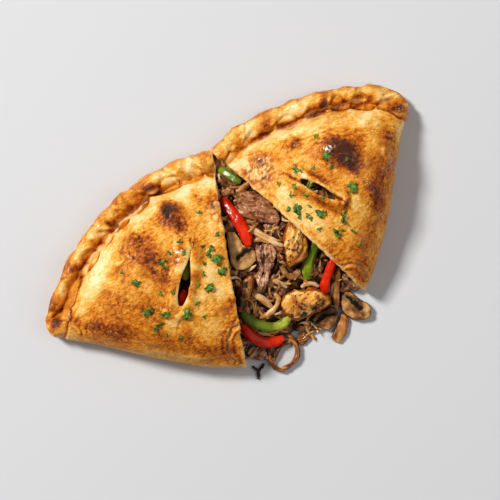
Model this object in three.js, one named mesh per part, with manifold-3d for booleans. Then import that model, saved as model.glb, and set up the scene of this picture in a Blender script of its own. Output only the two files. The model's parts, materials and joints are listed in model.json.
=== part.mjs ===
// A baked calzone, cut across the middle and opened like a fan about its crimped edge.
// Millimetres, +Z up, table at z = 0, origin under the middle of the whole spread.
// Each half is a pocket of dough: a floor, a puffed roof with one vent slit, a round folded side
// and a rolled, crimped edge. The filling runs through both pockets and spills out of the gap
// between them, with the larger pieces lying in it.
import * as THREE from "three";
import { mergeVertices } from "three/addons/utils/BufferGeometryUtils.js";
import Module from "manifold-3d";

const wasm = await Module();
wasm.setup();

// ---------- Driving dimensions ----------
const WALL = 4; // dough of the roof and the folded side
const FLOOR = 4; // dough underneath
const GAP = 0.4; // clearance between neighbours
const CRIMP_WIDTH = 16.5; // rolled edge, across
const CRIMP_HEIGHT = 15;
const CRIMP_PITCH = 21; // from one pinch to the next
const VALLEY = 8.5; // height of the crease between the roll and the roof
const SIDE_HEIGHT = 9; // height at which the folded side reaches furthest out
const APEX = [11, 78]; // corner of the crimped edge where the two halves still touch
// Height of the spilled filling at distances from the apex.
const HEAP = [[0, 2], [15, 8], [30, 14], [50, 19], [75, 22], [95, 21], [115, 15], [130, 9], [140, 3], [145, 0]];
const HEAP_REACH = 141; // from the apex to the front of the spilled filling
const CRUST_COLOUR = 0xd9973f;
const BOW = 1e-6;

// Each half in its own frame: the apex at the origin, the cut along -Y, the tip away from the cut.
// `side` is -1 for the half on the left, whose X runs the other way.
// Outlines, the vent and the blisters are [away from the cut, along the cut].
// Cracks are [x, y] and parsley is [x, y, size], on the table.
const HALVES = {
  left: {
    side: -1,
    turn: -18.7, // degrees about the apex
    crimpEdge: [[0, 0], [24, 3], [49, 11], [78, 27.5], [106, 53], [123.5, 78], [132.5, 95], [134.5, 103]],
    foldEdge: [[0, 155], [29, 149.5], [66, 136.5], [102, 121.5], [122, 114.5], [131, 110], [134.5, 103]],
    ridge: [38, 44, 46, 38, 25, 11], // roof heights at even steps from the cut to the tip
    vent: { from: [24.5, 69], to: [38, 107], width: 7.5 },
    blisters: [[29, 44, 10, 1.8], [60, 62, 17, 1.4], [40, 55, 8, 1.2], [86, 70, 14, 1.2], [52, 118, 16, -1.2]],
    phase: 0.4,
    cracks: [[[-27.3, -37.5], [-34.7, -39.7], [-41, -45.7], [-43.7, -53.6], [-43.8, -59.8]]],
    parsley: [
      [-17, 42, 3.2], [-12, 23, 3.2], [-38, 31, 3.2], [-47, 26, 3.2], [-55, 22, 5.8], [-82, 31, 3.2],
      [-76, 19, 5.5], [-23, 15, 5.5], [-21, 8, 5.5], [-22, 0, 5.5], [-34, 3, 3.2], [-34, -7, 5.5],
      [-65, 6, 3.2], [-46, -12, 3.2], [-78, -2, 5.5], [-69, -8, 5.8], [-56, -16, 5.5], [-78, -13, 5.8],
    ],
  },
  right: {
    side: 1,
    turn: 19.1,
    crimpEdge: [[0, 0], [20, 0.5], [42, 8], [66, 19], [90, 34], [110, 52], [118, 66], [118.5, 79]],
    foldEdge: [[0, 147], [25, 136.5], [53, 121], [79, 103], [98, 90.5], [112, 84], [118.5, 79]],
    ridge: [38, 44, 46, 39, 26, 11],
    vent: { from: [24.4, 58], to: [32.4, 89], width: 5.5 },
    blisters: [[62, 62, 18, 2.2], [35, 38, 9, 1.6], [78, 92, 12, 1.4], [18, 36, 9, 1.4]],
    phase: 2.1,
    cracks: [[[47.9, -30.7], [51.4, -35.7], [59.7, -37.8], [64.1, -44.1], [64.6, -50.5]]],
    parsley: [
      [78, 50, 3.2], [78, 34, 5.5], [89, 27, 3.2], [77, 27, 3.2], [56, 36, 5.8], [61, 25, 5.8],
      [83, 8, 5.5], [49, 27, 3.2], [44, 23, 3.2], [53, 18, 3.2], [62, 11, 3.2], [44, 14, 5.5],
      [48, 6, 3.2], [57, 2, 5.5], [68, -8, 5.8], [50, -6, 3.2], [60, -15, 5.8], [70, -29, 3.2],
    ],
  },
};

// [name, kind, shape], from the top of the heap down: each piece is cut clear of those before it.
// A path's places are [x, y, lift above the heap]; an outline is a closed curve through its corners.
const PIECES = [
  ["red_pepper_1", "red", {
    path: [[1, 44.5, 1], [2, 36, 2.5], [4, 27, 3.5], [4.5, 18, 4], [4, 11.5, 4], [2.5, 6.5, 3.6]],
    width: 7.6, thick: 4.6,
  }],
  ["green_pepper_1", "green", {
    path: [[9.5, 63.5, 0.8], [12, 59, 0.8], [15, 52.5, 0.8], [18.5, 48, 0.8]],
    width: 6.3, thick: 4,
  }],
  ["chicken_1", "chicken", {
    outline: [[35.5, 7], [41, -4], [38.5, -14], [28.5, -21], [19.5, -20], [22, -9], [30, 3]],
    lift: 3.5, thick: 10, edge: 2.6, crown: 1.2,
  }],
  ["green_pepper_2", "green", {
    path: [[46, -13.5, 2.5], [39.5, -18.5, 3], [34, -23.5, 3], [30, -28.5, 3], [28, -33.5, 2.5]],
    width: 7, thick: 4.6,
  }],
  ["red_pepper_2", "red", {
    path: [[52, -29, 3.5], [46, -34, 3.5], [40.5, -38.5, 3.5], [36, -43.5, 4], [34, -48, 4]],
    width: 6, thick: 4.4,
  }],
  ["chicken_2", "chicken", {
    outline: [
      [3.5, -39.5], [11, -35.5], [22, -39], [34, -47], [35.5, -56],
      [22, -57.5], [7, -56], [2.5, -47],
    ],
    lift: 4, thick: 12, edge: 3, crown: 1.2,
  }],
  ["green_pepper_3", "green", {
    path: [
      [-23.5, -33, 4], [-21, -40, 4], [-17, -46, 4], [-12, -50.5, 4], [-6, -53.5, 4],
      [0.5, -53, 4], [4.5, -52, 4],
    ],
    width: 6, thick: 4.4,
  }],
  ["red_pepper_3", "red", {
    path: [
      [-27.5, -40.5, 3.5], [-26.5, -47.5, 4.5], [-23.5, -54, 5.5], [-19.5, -59.5, 5.5], [-13.5, -62, 5.5],
      [-6.5, -62.5, 5.5],
    ],
    width: 7, thick: 4.8,
  }],
  ["mushroom_1", "mushroom", {
    outline: [[-6, 22], [-1, 19], [0, 8], [5, 4], [3, -5], [-6, -8], [-14, -4], [-12, 8]],
    lift: 1.5, thick: 5.5, edge: 1.2,
  }],
  ["mushroom_3", "mushroom", {
    outline: [[43, -55.5], [50, -54], [53, -62], [58.5, -71], [54, -78.5], [44, -75.5], [39, -65.5]],
    lift: 3.4, thick: 6, edge: 1.4, table: true,
  }],
  ["beef_1", "beef", {
    outline: [[13, 42], [23.5, 37], [30, 27], [31, 12], [27, 8.5], [18, 17], [7.5, 28], [7, 37.5]],
    lift: 1.6, thick: 5, edge: 1.2,
  }],
  ["onion_6", "onion", {
    path: [[-14, -42, 2.4], [-7, -42.5, 2.6], [-0.5, -40.5, 3], [4, -36.5, 3], [3, -32, 2.4]],
    width: 3.2, thick: 3,
  }],
  ["chicken_3", "charred", {
    outline: [[-5.5, -13], [-7, -19], [-16.5, -28.5], [-22, -33], [-25, -31], [-21.5, -23], [-14, -14]],
    lift: 2.6, thick: 7, edge: 1.1, crown: 0.8,
  }],
  ["beef_2", "beef", {
    outline: [
      [12, 2.5], [19, -4], [12, -12.5], [4, -20.5], [-5, -27.5],
      [-4.5, -18], [3.5, -8], [4.5, 1],
    ],
    lift: 1.5, thick: 5, edge: 1.2,
  }],
  ["mushroom_2", "mushroom", {
    outline: [[14.5, -16], [14, -23], [19, -30.5], [27.5, -26], [25, -23], [19, -25], [17.5, -17]],
    lift: 1.2, thick: 4.5, edge: 0.9,
  }],
  ["onion_1", "onion", {
    path: [[12.5, 42.5, 1], [19, 43.5, 1], [26, 44.5, 1]],
    width: 4, thick: 2.6,
  }],
  ["onion_2", "onion", {
    path: [[8, 18.5, 0.8], [11.5, 12, 0.8], [16, 5.5, 0.8], [20, 0, 0.8], [24, -6, 0.8]],
    width: 4.2, thick: 2.6,
  }],
  ["onion_3", "onion", {
    path: [[7, 7.5, 0.6], [12.5, 6, 0.6], [16, 1.5, 0.6]],
    width: 3.4, thick: 2.4,
  }],
  ["onion_4", "onion", {
    path: [[50.5, -37, 2], [46, -44, 2], [41.5, -51.5, 2.6], [36, -62, 3.2]],
    width: 3.8, thick: 2.6,
  }],
  ["onion_5", "onion", {
    path: [[-11, -24.5, 0.8], [-6.5, -31, 0.8], [-3, -39.5, 0.8]],
    width: 4, thick: 3,
  }],
  ["onion_7", "onion", {
    path: [[21.5, -36.5, 0.8], [27.5, -36.5, 0.8], [32.5, -42, 0.8]],
    width: 3.5, thick: 2.6,
  }],
  ["onion_8", "onion", {
    path: [[6, -22, 1.2], [9, -26.5, 1.2], [12.5, -32, 1.2]],
    width: 3.2, thick: 2.6,
  }],
  ["onion_ring", "onion", {
    path: [
      [-4.5, -59.5, 3], [-1, -65.5, 3], [-0.5, -72.5, 3], [-3, -78, 3], [-7.5, -81, 3],
      [-13.5, -82, 3], [-19.5, -81.5, 3], [-22, -77, 3], [-21.5, -71, 3], [-18.5, -64.5, 3],
    ],
    branches: [[[-20, -74, 2.8], [-15.5, -69.5, 2.8], [-10, -66.5, 2.8], [-2.5, -67, 2.8]]],
    width: 3.4, thick: 5, table: true,
  }],
  ["beef_3", "beef", {
    outline: [[54, -38], [58.5, -50], [57, -58], [51, -54], [49.5, -44]],
    lift: 0.6, thick: 6, edge: 1.4,
  }],
  ["mushroom_4", "mushroom", {
    outline: [[17, -60.5], [26, -58], [36, -60.5], [34, -69], [24, -73], [18.5, -67]],
    lift: 3.4, thick: 6, edge: 1.4, table: true,
  }],
  ["onion_petal", "onion", {
    outline: [[38, -67], [41, -71], [35, -79.5], [27, -84], [23.5, -79], [31, -73]],
    lift: 2.2, thick: 4, edge: 1.2, table: true,
  }],
  ["beef_4", "beef", {
    outline: [[-31.5, -57], [-22.5, -61.5], [-21, -70.5], [-30, -67], [-34, -61]],
    lift: 3.2, thick: 6, edge: 1.4, table: true,
  }],
  ["burnt_scrap", "burnt", {
    path: [[-35, -70, 1.2], [-33, -75, 1.2], [-27, -72.5, 1.2]],
    branches: [[[-33, -75, 1.2], [-34, -78, 1.2], [-36, -80, 1.2]]],
    width: 2.4, thick: 2.2, table: true,
  }],
  ["onion_scrap", "onion", {
    outline: [[2.5, -67], [8, -66], [10, -71], [6, -73.5], [1, -72]],
    lift: 1.7, thick: 3, edge: 0.9, table: true, count: 12,
  }],
  ["green_pepper_4", "green", {
    path: [[-37, 17, 34.5], [-42, 12, 35.5], [-47, 6, 35.5]],
    width: 7, thick: 4, flat: true,
  }],
  ["red_pepper_4", "red", {
    path: [[-50, 0, 35.5], [-55, -5, 35.5], [-59, -10, 34.5]],
    width: 7, thick: 4, flat: true,
  }],
];
const KINDS = {
  red: [0xc8200c, 0.3],
  green: [0x6b8a1c, 0.3],
  chicken: [0xc98a45, 0.5],
  charred: [0x6f452c, 0.5],
  beef: [0x6a4a40, 0.6],
  mushroom: [0x9c7048, 0.5],
  onion: [0xb98148, 0.4],
  burnt: [0x241a14, 0.6],
};
// Small shreds lying on the heap, joined to it.
const SHREDS = [
  { at: [6, 46], turn: 2.2, length: 9 },
  { at: [10, 51], turn: 0.5, length: 8 },
  { at: [8, 0], turn: 0.9, length: 10 },
  { at: [22, -12], turn: 2.4, length: 12 },
  { at: [-12, -18], turn: 1.2, length: 9 },
  { at: [10, -30], turn: 2.9, length: 10 },
];

// ---------- Helpers ----------
function seeded(start) {
  let state = start;
  return () => {
    state = (state * 1664525 + 1013904223) % 4294967296;
    return state / 4294967296;
  };
}

const rad = THREE.MathUtils.degToRad;
const clamp01 = (x) => THREE.MathUtils.clamp(x, 0, 1);
const colour = (hex, roughness) => new THREE.MeshStandardMaterial({ color: hex, roughness, metalness: 0 });

function geometryOf(points, triangles) {
  const geometry = new THREE.BufferGeometry();
  geometry.setAttribute("position", new THREE.Float32BufferAttribute(points.flat(), 3));
  geometry.setIndex(triangles.flat());
  return geometry;
}

function solidOf(geometry) {
  const bare = new THREE.BufferGeometry();
  bare.setAttribute("position", geometry.getAttribute("position"));
  bare.setIndex(geometry.getIndex());
  const merged = mergeVertices(bare, 1e-4);
  return new wasm.Manifold(
    new wasm.Mesh({
      numProp: 3,
      vertProperties: new Float32Array(merged.attributes.position.array),
      triVerts: new Uint32Array(merged.index.array),
    }),
  );
}

function geometryFrom(solid) {
  const mesh = solid.getMesh();
  const geometry = new THREE.BufferGeometry();
  geometry.setAttribute("position", new THREE.BufferAttribute(new Float32Array(mesh.vertProperties), 3));
  geometry.setIndex(new THREE.BufferAttribute(new Uint32Array(mesh.triVerts), 1));
  geometry.computeVertexNormals();
  return geometry;
}

// The largest body of a solid, so that a loose scrap is dropped.
function largest(solid) {
  return solid.decompose().reduce((best, body) => (body.volume() > best.volume() ? body : best));
}

// A closed skin over rings of points that all run the same way round, with a flat cap at each end.
// `flat` gives the first and last ring's points in their own plane, for the caps.
function loft(rings, flat) {
  const count = rings[0].length;
  const triangles = [];
  for (let i = 0; i + 1 < rings.length; i++) {
    for (let j = 0; j < count; j++) {
      const a = i * count + j;
      const b = i * count + ((j + 1) % count);
      triangles.push([a, b, b + count], [a, b + count, a + count]);
    }
  }
  // A slight bow keeps points on one straight line from being skipped.
  const bowed = ([x, y]) => new THREE.Vector2(x, y + BOW * x * x);
  const cap = (ring) => THREE.ShapeUtils.triangulateShape(ring.map(bowed), []);
  const last = (rings.length - 1) * count;
  const swap = THREE.ShapeUtils.area(flat[0].map(bowed)) > 0;
  for (const [a, b, c] of cap(flat[0])) triangles.push(swap ? [a, c, b] : [a, b, c]);
  for (const [a, b, c] of cap(flat[1]).map((t) => t.map((k) => k + last))) {
    triangles.push(swap ? [a, b, c] : [a, c, b]);
  }
  return outward(geometryOf(rings.flat(), triangles));
}

// Turns every triangle round if the closed skin faces inwards.
function outward(geometry) {
  const p = geometry.getAttribute("position");
  const index = geometry.getIndex().array;
  const [a, b, c] = [new THREE.Vector3(), new THREE.Vector3(), new THREE.Vector3()];
  let volume = 0;
  for (let i = 0; i < index.length; i += 3) {
    a.fromBufferAttribute(p, index[i]);
    b.fromBufferAttribute(p, index[i + 1]);
    c.fromBufferAttribute(p, index[i + 2]);
    volume += a.dot(b.cross(c));
  }
  if (volume < 0) {
    for (let i = 0; i < index.length; i += 3) [index[i + 1], index[i + 2]] = [index[i + 2], index[i + 1]];
  }
  return geometry;
}

// ---------- The dough pocket ----------
const edgeCurve = (points) =>
  new THREE.CatmullRomCurve3(points.map(([x, y]) => new THREE.Vector3(x, y, 0)), false, "centripetal");

for (const half of Object.values(HALVES)) {
  half.crimp = edgeCurve(half.crimpEdge);
  half.fold = edgeCurve(half.foldEdge);
  half.crimpLength = half.crimp.getLength();
}

// One cross-section: `w` runs from 0 at the cut to 1 at the tip.
function station(half, w) {
  const from = half.crimp.getPointAt(w);
  const to = half.fold.getPointAt(w);
  const width = Math.max(from.distanceTo(to), 5);
  const steps = half.ridge.length - 1;
  const i = Math.min(Math.floor(w * steps), steps - 1);
  const k = w * steps - i;
  const ridge = THREE.MathUtils.lerp(half.ridge[i], half.ridge[i + 1], k * k * (3 - 2 * k) * 0.5 + k * 0.5);
  const small = clamp01(width / 40); // shrinks the profile near the tip
  return {
    w,
    from,
    to,
    width,
    small,
    ridge,
    crimp: Math.min(CRIMP_WIDTH, width * 0.45),
    roll: THREE.MathUtils.lerp(8, CRIMP_HEIGHT, small),
    valley: THREE.MathUtils.lerp(6, VALLEY, small),
    side: THREE.MathUtils.lerp(4, SIDE_HEIGHT, small),
    along: w * half.crimpLength,
  };
}

// The roof's plain height at `across` mm from the crimped edge.
function domeHeight(s, across) {
  const q = clamp01((across - s.crimp) / (s.width - s.crimp));
  const peak = 0.5;
  if (q < peak) return s.valley + (s.ridge - s.valley) * (1 - (1 - q / peak) ** 2.4) ** 0.75;
  return s.side + (s.ridge - s.side) * Math.sqrt(Math.max(0, 1 - ((q - peak) / (1 - peak)) ** 2.6));
}

function distanceToVent(half, x, y) {
  const { from, to } = half.vent;
  const [dx, dy] = [to[0] - from[0], to[1] - from[1]];
  const t = clamp01(((x - from[0]) * dx + (y - from[1]) * dy) / (dx * dx + dy * dy));
  return Math.hypot(x - from[0] - t * dx, y - from[1] - t * dy);
}

// Blisters, the raised lips of the vent, and slow undulation.
function roofRelief(half, x, y) {
  let z = 0;
  for (const [bx, by, reach, height] of half.blisters) {
    z += height * Math.exp(-((x - bx) ** 2 + (y - by) ** 2) / reach ** 2);
  }
  const lip = (distanceToVent(half, x, y) - half.vent.width * 0.75) / 3.2;
  z += 2 * Math.exp(-lip * lip);
  z += 0.5 * Math.sin(x / 7 + half.phase) * Math.sin(y / 9 + 2 * half.phase);
  return z;
}

// Slanting pinches along the rolled edge: from -1 in a fold to 1 on its crown.
function pinch(half, along, share) {
  const turn = (2 * Math.PI * along) / CRIMP_PITCH + 2.6 * share + half.phase + 1.1 * Math.sin(along / 15);
  const deep = 1 + 0.35 * Math.sin(along / 11 + 2 * half.phase);
  return deep * (1 - 2 * Math.abs(Math.cos(turn / 2)) ** 3);
}

const CRIMP_SHARES = [0, 0.08, 0.22, 0.38, 0.54, 0.7, 0.84, 0.95];
const ROOF_SHARES = [0, 0.02, 0.07, 0.15, 0.25, 0.36, 0.47, 0.58, 0.69, 0.79, 0.87, 0.94, 0.98, 1];

// The section's outline as [across, height]: the underside of the roll, the roof, the folded side.
function doughProfile(half, s) {
  const ring = [];
  const at = (across, z) => ring.push([across, z]);
  at(4.5 * s.small, 0);
  at(1 * s.small, 1.8 * s.small);
  for (const share of CRIMP_SHARES) {
    const crown = share < 0.45 ? share / 0.45 : (1 - share) / 0.55;
    const lift = Math.sqrt(Math.max(0, 1 - (1 - clamp01(crown)) ** 2));
    const base = share < 0.45 ? 5 : s.valley - 1.5;
    const wave = pinch(half, s.along, share) * s.small;
    at(share * s.crimp - 1.7 * wave * (1 - share), base + (s.roll - base) * lift + 1.9 * wave * lift);
  }
  for (const share of ROOF_SHARES) {
    const across = s.crimp + share * (s.width - s.crimp);
    const k = across / s.width;
    const x = THREE.MathUtils.lerp(s.from.x, s.to.x, k);
    const y = THREE.MathUtils.lerp(s.from.y, s.to.y, k);
    const fade = clamp01(share / 0.08) * clamp01((1 - share) / 0.1) * clamp01(s.width / 60);
    at(across, domeHeight(s, across) + roofRelief(half, x, y) * fade);
  }
  at(s.width - 0.7 * s.small, s.side * 0.45);
  at(s.width - 3 * s.small, s.side * 0.13);
  at(s.width - 7 * s.small, 0);
  return ring;
}

// The hollow's outline, `inset` mm inside the dough.
function hollowProfile(half, s, inset) {
  const [near, far] = [s.crimp + 1 + inset, s.width - WALL - 1 - inset];
  const floor = FLOOR + inset;
  const ring = [[near, floor]];
  const steps = 9;
  for (let i = 0; i <= steps; i++) {
    const across = THREE.MathUtils.lerp(near, far, i / steps);
    ring.push([across, Math.max(floor + 1.5, domeHeight(s, across + (i / steps - 0.5) * 3) - WALL - inset)]);
  }
  ring.push([far - 1, floor]);
  return ring;
}

// A section's points in the half's frame. The whole section can be pushed `shift` mm along X.
function placeSection(half, s, ring, shift = 0) {
  return ring.map(([across, z]) => {
    const k = across / s.width;
    return [
      half.side * (THREE.MathUtils.lerp(s.from.x, s.to.x, k) + shift),
      -THREE.MathUtils.lerp(s.from.y, s.to.y, k),
      z,
    ];
  });
}

function doughBody(half) {
  const count = 34;
  const share = (i) => 0.985 * (1 - (1 - i / (count - 1)) ** 1.15);
  const sections = Array.from({ length: count }, (_, i) => station(half, share(i)));
  const rings = sections.map((s) => doughProfile(half, s));
  return loft(sections.map((s, i) => placeSection(half, s, rings[i])), [rings[0], rings[count - 1]]);
}

// The space inside the pocket, open at the cut, which it passes by `out`.
function pocketSpace(half, out) {
  const steps = 10;
  const sections = Array.from({ length: steps }, (_, i) => station(half, (i / (steps - 1)) * 0.84));
  const rings = sections.map((s) => hollowProfile(half, s, 0));
  const placed = sections.map((s, i) => placeSection(half, s, rings[i]));
  placed.unshift(placeSection(half, sections[0], rings[0], -out));
  return loft(placed, [rings[0], rings[steps - 1]]);
}

// A lens-shaped cutter that opens the vent through the roof.
function ventCutter(half) {
  const { from, to, width } = half.vent;
  const length = Math.hypot(to[0] - from[0], to[1] - from[1]);
  const lens = new THREE.Shape();
  lens.moveTo(0, 0);
  lens.quadraticCurveTo(length / 2, width, length, 0);
  lens.quadraticCurveTo(length / 2, -width, 0, 0);
  const cutter = new THREE.ExtrudeGeometry(lens, { depth: 60, bevelEnabled: false, curveSegments: 6 });
  cutter.rotateZ(Math.atan2(-(to[1] - from[1]), half.side * (to[0] - from[0])));
  cutter.translate(half.side * from[0], -from[1], FLOOR + 8);
  return cutter;
}

function crust(half) {
  return solidOf(doughBody(half))
    .subtract(solidOf(pocketSpace(half, 5)))
    .subtract(solidOf(ventCutter(half)));
}


// ---------- The filling ----------
// Height of the spilled heap at a place on the table.
function heapHeight(x, y) {
  const r = Math.hypot(x - APEX[0], y - APEX[1]);
  for (let i = 0; i + 1 < HEAP.length; i++) {
    const [[r0, z0], [r1, z1]] = [HEAP[i], HEAP[i + 1]];
    if (r <= r1) return THREE.MathUtils.lerp(z0, z1, (r - r0) / (r1 - r0));
  }
  return 0;
}

const lumps = (x, y) =>
  1.3 * Math.sin(x / 3.1 + 1.3 * Math.sin(y / 5)) * Math.sin(y / 3.7 + 0.8) + 0.6 * Math.sin(x / 1.9 + y / 2.6);

// The heap between the two cuts, as arcs about the apex.
function heapBody() {
  const [rows, across] = [12, 9];
  const turnOf = (half) => rad(half.turn);
  const rings = [];
  const flats = [];
  for (let i = 0; i < rows; i++) {
    const r = THREE.MathUtils.lerp(9, HEAP_REACH, i / (rows - 1));
    const slack = (GAP * 1.2) / r;
    const [a0, a1] = [turnOf(HALVES.left) + slack, turnOf(HALVES.right) - slack];
    const top = Array.from({ length: across + 1 }, (_, j) => {
      const a = THREE.MathUtils.lerp(a1, a0, j / across);
      const edge = r > 120 ? 5 * Math.sin(9 * a + 1) + 3 * Math.sin(23 * a) : 0;
      const reach = r + edge * clamp01((r - 120) / 20);
      const [x, y] = [APEX[0] + reach * Math.sin(a), APEX[1] - reach * Math.cos(a)];
      const base = heapHeight(APEX[0], APEX[1] - r);
      return [x, y, Math.max(0.6, base + lumps(x, y) * clamp01(base / 6))];
    });
    const foot = (j) => [top[j][0], top[j][1], 0];
    rings.push([foot(0), ...top, foot(across)]);
    flats.push([[0, 0], ...top.map((p, j) => [j + 0.5, p[2]]), [across + 1, 0]]);
  }
  return loft(rings, [flats[0], flats[rows - 1]]);
}

// What fills one pocket: level with the heap at the cut, up to the roof further in.
function pocketFilling(half) {
  const steps = 9;
  const inset = 1.7;
  const sections = Array.from({ length: steps }, (_, i) => station(half, (i / (steps - 1)) * 0.83));
  const ring = (s, shift) => {
    const depth = s.w * half.crimpLength - shift;
    return hollowProfile(half, s, inset).map(([across, z]) => {
      const k = across / s.width;
      const [x, y] = [THREE.MathUtils.lerp(s.from.x, s.to.x, k), THREE.MathUtils.lerp(s.from.y, s.to.y, k)];
      const dip = 4.5 * Math.exp(-((distanceToVent(half, x, y) / 11) ** 2));
      const level = heapHeight(APEX[0], APEX[1] - across) + 1 + 0.8 * Math.max(0, depth);
      return [across, z > FLOOR + inset ? Math.max(FLOOR + inset + 1, Math.min(z - dip, level)) : z];
    });
  };
  const rings = sections.map((s) => ring(s, 0));
  const placed = sections.map((s, i) => placeSection(half, s, rings[i]));
  placed.unshift(placeSection(half, sections[0], rings[0], -3));
  return loft(placed, [rings[0], rings[steps - 1]]);
}

// A band of vegetable: a flattened six-sided section along a curve, with blunt, narrower ends.
// Each place on the curve is [x, y, lift above the heap], or with `table` set, above the table.
function strip({ path, width, thick, table = false, flat = false, pace = 5 }) {
  const height = (x, y, lift) => (flat ? lift : (table ? 0 : heapHeight(x, y)) + lift);
  const places = path.map(([x, y, lift]) => new THREE.Vector3(x, y, height(x, y, lift)));
  const curve = new THREE.CatmullRomCurve3(places);
  const length = curve.getLength();
  const steps = Math.max(4, Math.round(length / pace));
  const section = [[1, 0], [0.55, 0.95], [-0.55, 0.95], [-1, 0], [-0.55, -0.95], [0.55, -0.95]];
  const rings = [];
  for (let i = 0; i <= steps; i++) {
    const t = i / steps;
    const [p, d] = [curve.getPointAt(t), curve.getTangentAt(t)];
    const level = Math.hypot(d.x, d.y) || 1;
    const [nx, ny] = [-d.y / level, d.x / level];
    const end = 1 - 0.5 * (1 - clamp01(Math.min(t, 1 - t) * length / (width * 0.7))) ** 2;
    const [wide, high] = [width * 0.5 * end, thick * 0.5 * end];
    rings.push(section.map(([u, v]) => [p.x + nx * u * wide, p.y + ny * u * wide, p.z + v * high]));
  }
  return solidOf(loft(rings, [section, section]));
}

// A slice of meat or vegetable: a closed outline, rounded at its edges, that leans with the heap.
function slice({ outline, lift, thick, edge, crown = 0, table = false, count = 14 }) {
  const curve = new THREE.CatmullRomCurve3(outline.map(([x, y]) => new THREE.Vector3(x, y, 0)), true);
  const points = Array.from({ length: count }, (_, i) => curve.getPointAt(i / count));
  const spin = THREE.ShapeUtils.isClockWise(points) ? 1 : -1;
  const centre = points.reduce((sum, p) => sum.add(p), new THREE.Vector3()).divideScalar(count);
  const base = table ? 0 : heapHeight(centre.x, centre.y);
  const lean = table ? 0 : 0.3;
  const slopeX = lean * (heapHeight(centre.x + 1, centre.y) - heapHeight(centre.x - 1, centre.y));
  const slopeY = lean * (heapHeight(centre.x, centre.y + 1) - heapHeight(centre.x, centre.y - 1));
  const ringAt = (inset, z) =>
    points.map((p, i) => {
      const d = curve.getTangentAt(i / count);
      const [x, y] = [p.x + spin * d.y * inset, p.y - spin * d.x * inset];
      return [x, y, base + lift + z + slopeX * (x - centre.x) + slopeY * (y - centre.y)];
    });
  const half = thick / 2;
  const rings = [
    ringAt(edge, -half),
    ringAt(0, -half + 0.8 * edge),
    ringAt(0.3 * edge, half - 0.5 * edge),
    ringAt(1.8 * edge, half + crown),
  ];
  const flat = points.map((p) => [p.x, p.y]);
  return solidOf(loft(rings, [flat, flat]));
}

// A copy pushed outwards by `clearance`, to cut room for a piece in what lies under it.
function grown(solid, clearance) {
  const geometry = geometryFrom(solid);
  const [p, n] = [geometry.getAttribute("position"), geometry.getAttribute("normal")];
  for (let i = 0; i < p.count; i++) {
    const point = new THREE.Vector3().fromBufferAttribute(p, i);
    point.addScaledVector(new THREE.Vector3().fromBufferAttribute(n, i), clearance);
    p.setXYZ(i, point.x, point.y, point.z);
  }
  return solidOf(geometry);
}

// ---------- Trimmings on the crust ----------
const DOWN = new THREE.Vector3(0, 0, -1);

function heightOn(mesh, x, y) {
  const cast = (px, py) => {
    const ray = new THREE.Raycaster(new THREE.Vector3(px, py, 100), DOWN);
    const hit = ray.intersectObject(mesh)[0];
    return hit ? hit.point.z : 0;
  };
  const here = cast(x, y);
  const around = Math.max(cast(x + 4, y), cast(x - 4, y), cast(x, y + 4), cast(x, y - 4));
  return around - here > 8 ? around : here; // bridges the vent
}

// A parsley flake: a ragged six-pointed scrap that follows the crust, its foot sunk in.
function flake(mesh, [x, y, size], random) {
  const turn = random() * Math.PI;
  const slim = 0.5 + 0.3 * random();
  const outline = Array.from({ length: 6 }, (_, i) => {
    const a = (i / 6) * 2 * Math.PI;
    const r = size * (0.42 + 0.2 * random());
    const [u, v] = [r * Math.cos(a), slim * r * Math.sin(a)];
    return [x + u * Math.cos(turn) - v * Math.sin(turn), y + u * Math.sin(turn) + v * Math.cos(turn)];
  });
  const ground = outline.map(([px, py]) => heightOn(mesh, px, py));
  const at = (lift) => outline.map(([px, py], i) => [px, py, ground[i] + lift(i)]);
  const wave = outline.map(() => 0.55 + 0.5 * random());
  return solidOf(loft([at(() => -0.45), at((i) => wave[i])], [outline, outline]));
}

// A crack in the crust: a narrow V-shaped furrow along a line.
function furrow(mesh, line, width, depth) {
  const curve = new THREE.CatmullRomCurve3(line.map(([x, y]) => new THREE.Vector3(x, y, 0)));
  const section = [[0, -1], [1, 0.6], [-1, 0.6]];
  const steps = 9;
  const rings = Array.from({ length: steps + 1 }, (_, i) => {
    const [p, d] = [curve.getPointAt(i / steps), curve.getTangentAt(i / steps)];
    const z = heightOn(mesh, p.x, p.y);
    const fade = 0.3 + 0.7 * Math.sin((Math.PI * (i + 0.6)) / (steps + 1.2));
    const [wide, deep] = [width * 0.5 * fade, depth * fade];
    return section.map(([u, v]) => [p.x - d.y * u * wide, p.y + d.x * u * wide, z + v * deep]);
  });
  return solidOf(loft(rings, [section, section]));
}

// ---------- Assembly ----------
const calzone = new THREE.Group();
calzone.name = "calzone";

function addMesh(name, solid, hex, roughness) {
  const mesh = new THREE.Mesh(geometryFrom(largest(solid)), colour(hex, roughness));
  mesh.name = name;
  calzone.add(mesh);
  return mesh;
}

const inPlace = (half, geometry) => {
  const move = new THREE.Matrix4().makeRotationZ(rad(half.turn));
  move.setPosition(APEX[0] + half.side * GAP * 0.5, APEX[1], 0);
  return geometry.applyMatrix4(move);
};

const random = seeded(7);
const crusts = [];
for (const [name, half] of Object.entries(HALVES)) {
  const bare = solidOf(inPlace(half, geometryFrom(crust(half))));
  const ground = new THREE.Mesh(geometryFrom(bare));
  let dressed = bare;
  for (const line of half.cracks) dressed = dressed.subtract(furrow(ground, line, 1.6, 1.3));
  const flakes = half.parsley.map((spot) => flake(ground, spot, random));
  dressed = wasm.Manifold.union([dressed, ...flakes]);
  addMesh(`crust_${name}`, dressed, CRUST_COLOUR, 0.45);
  crusts.push(grown(bare, GAP * 1.6));
}

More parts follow.
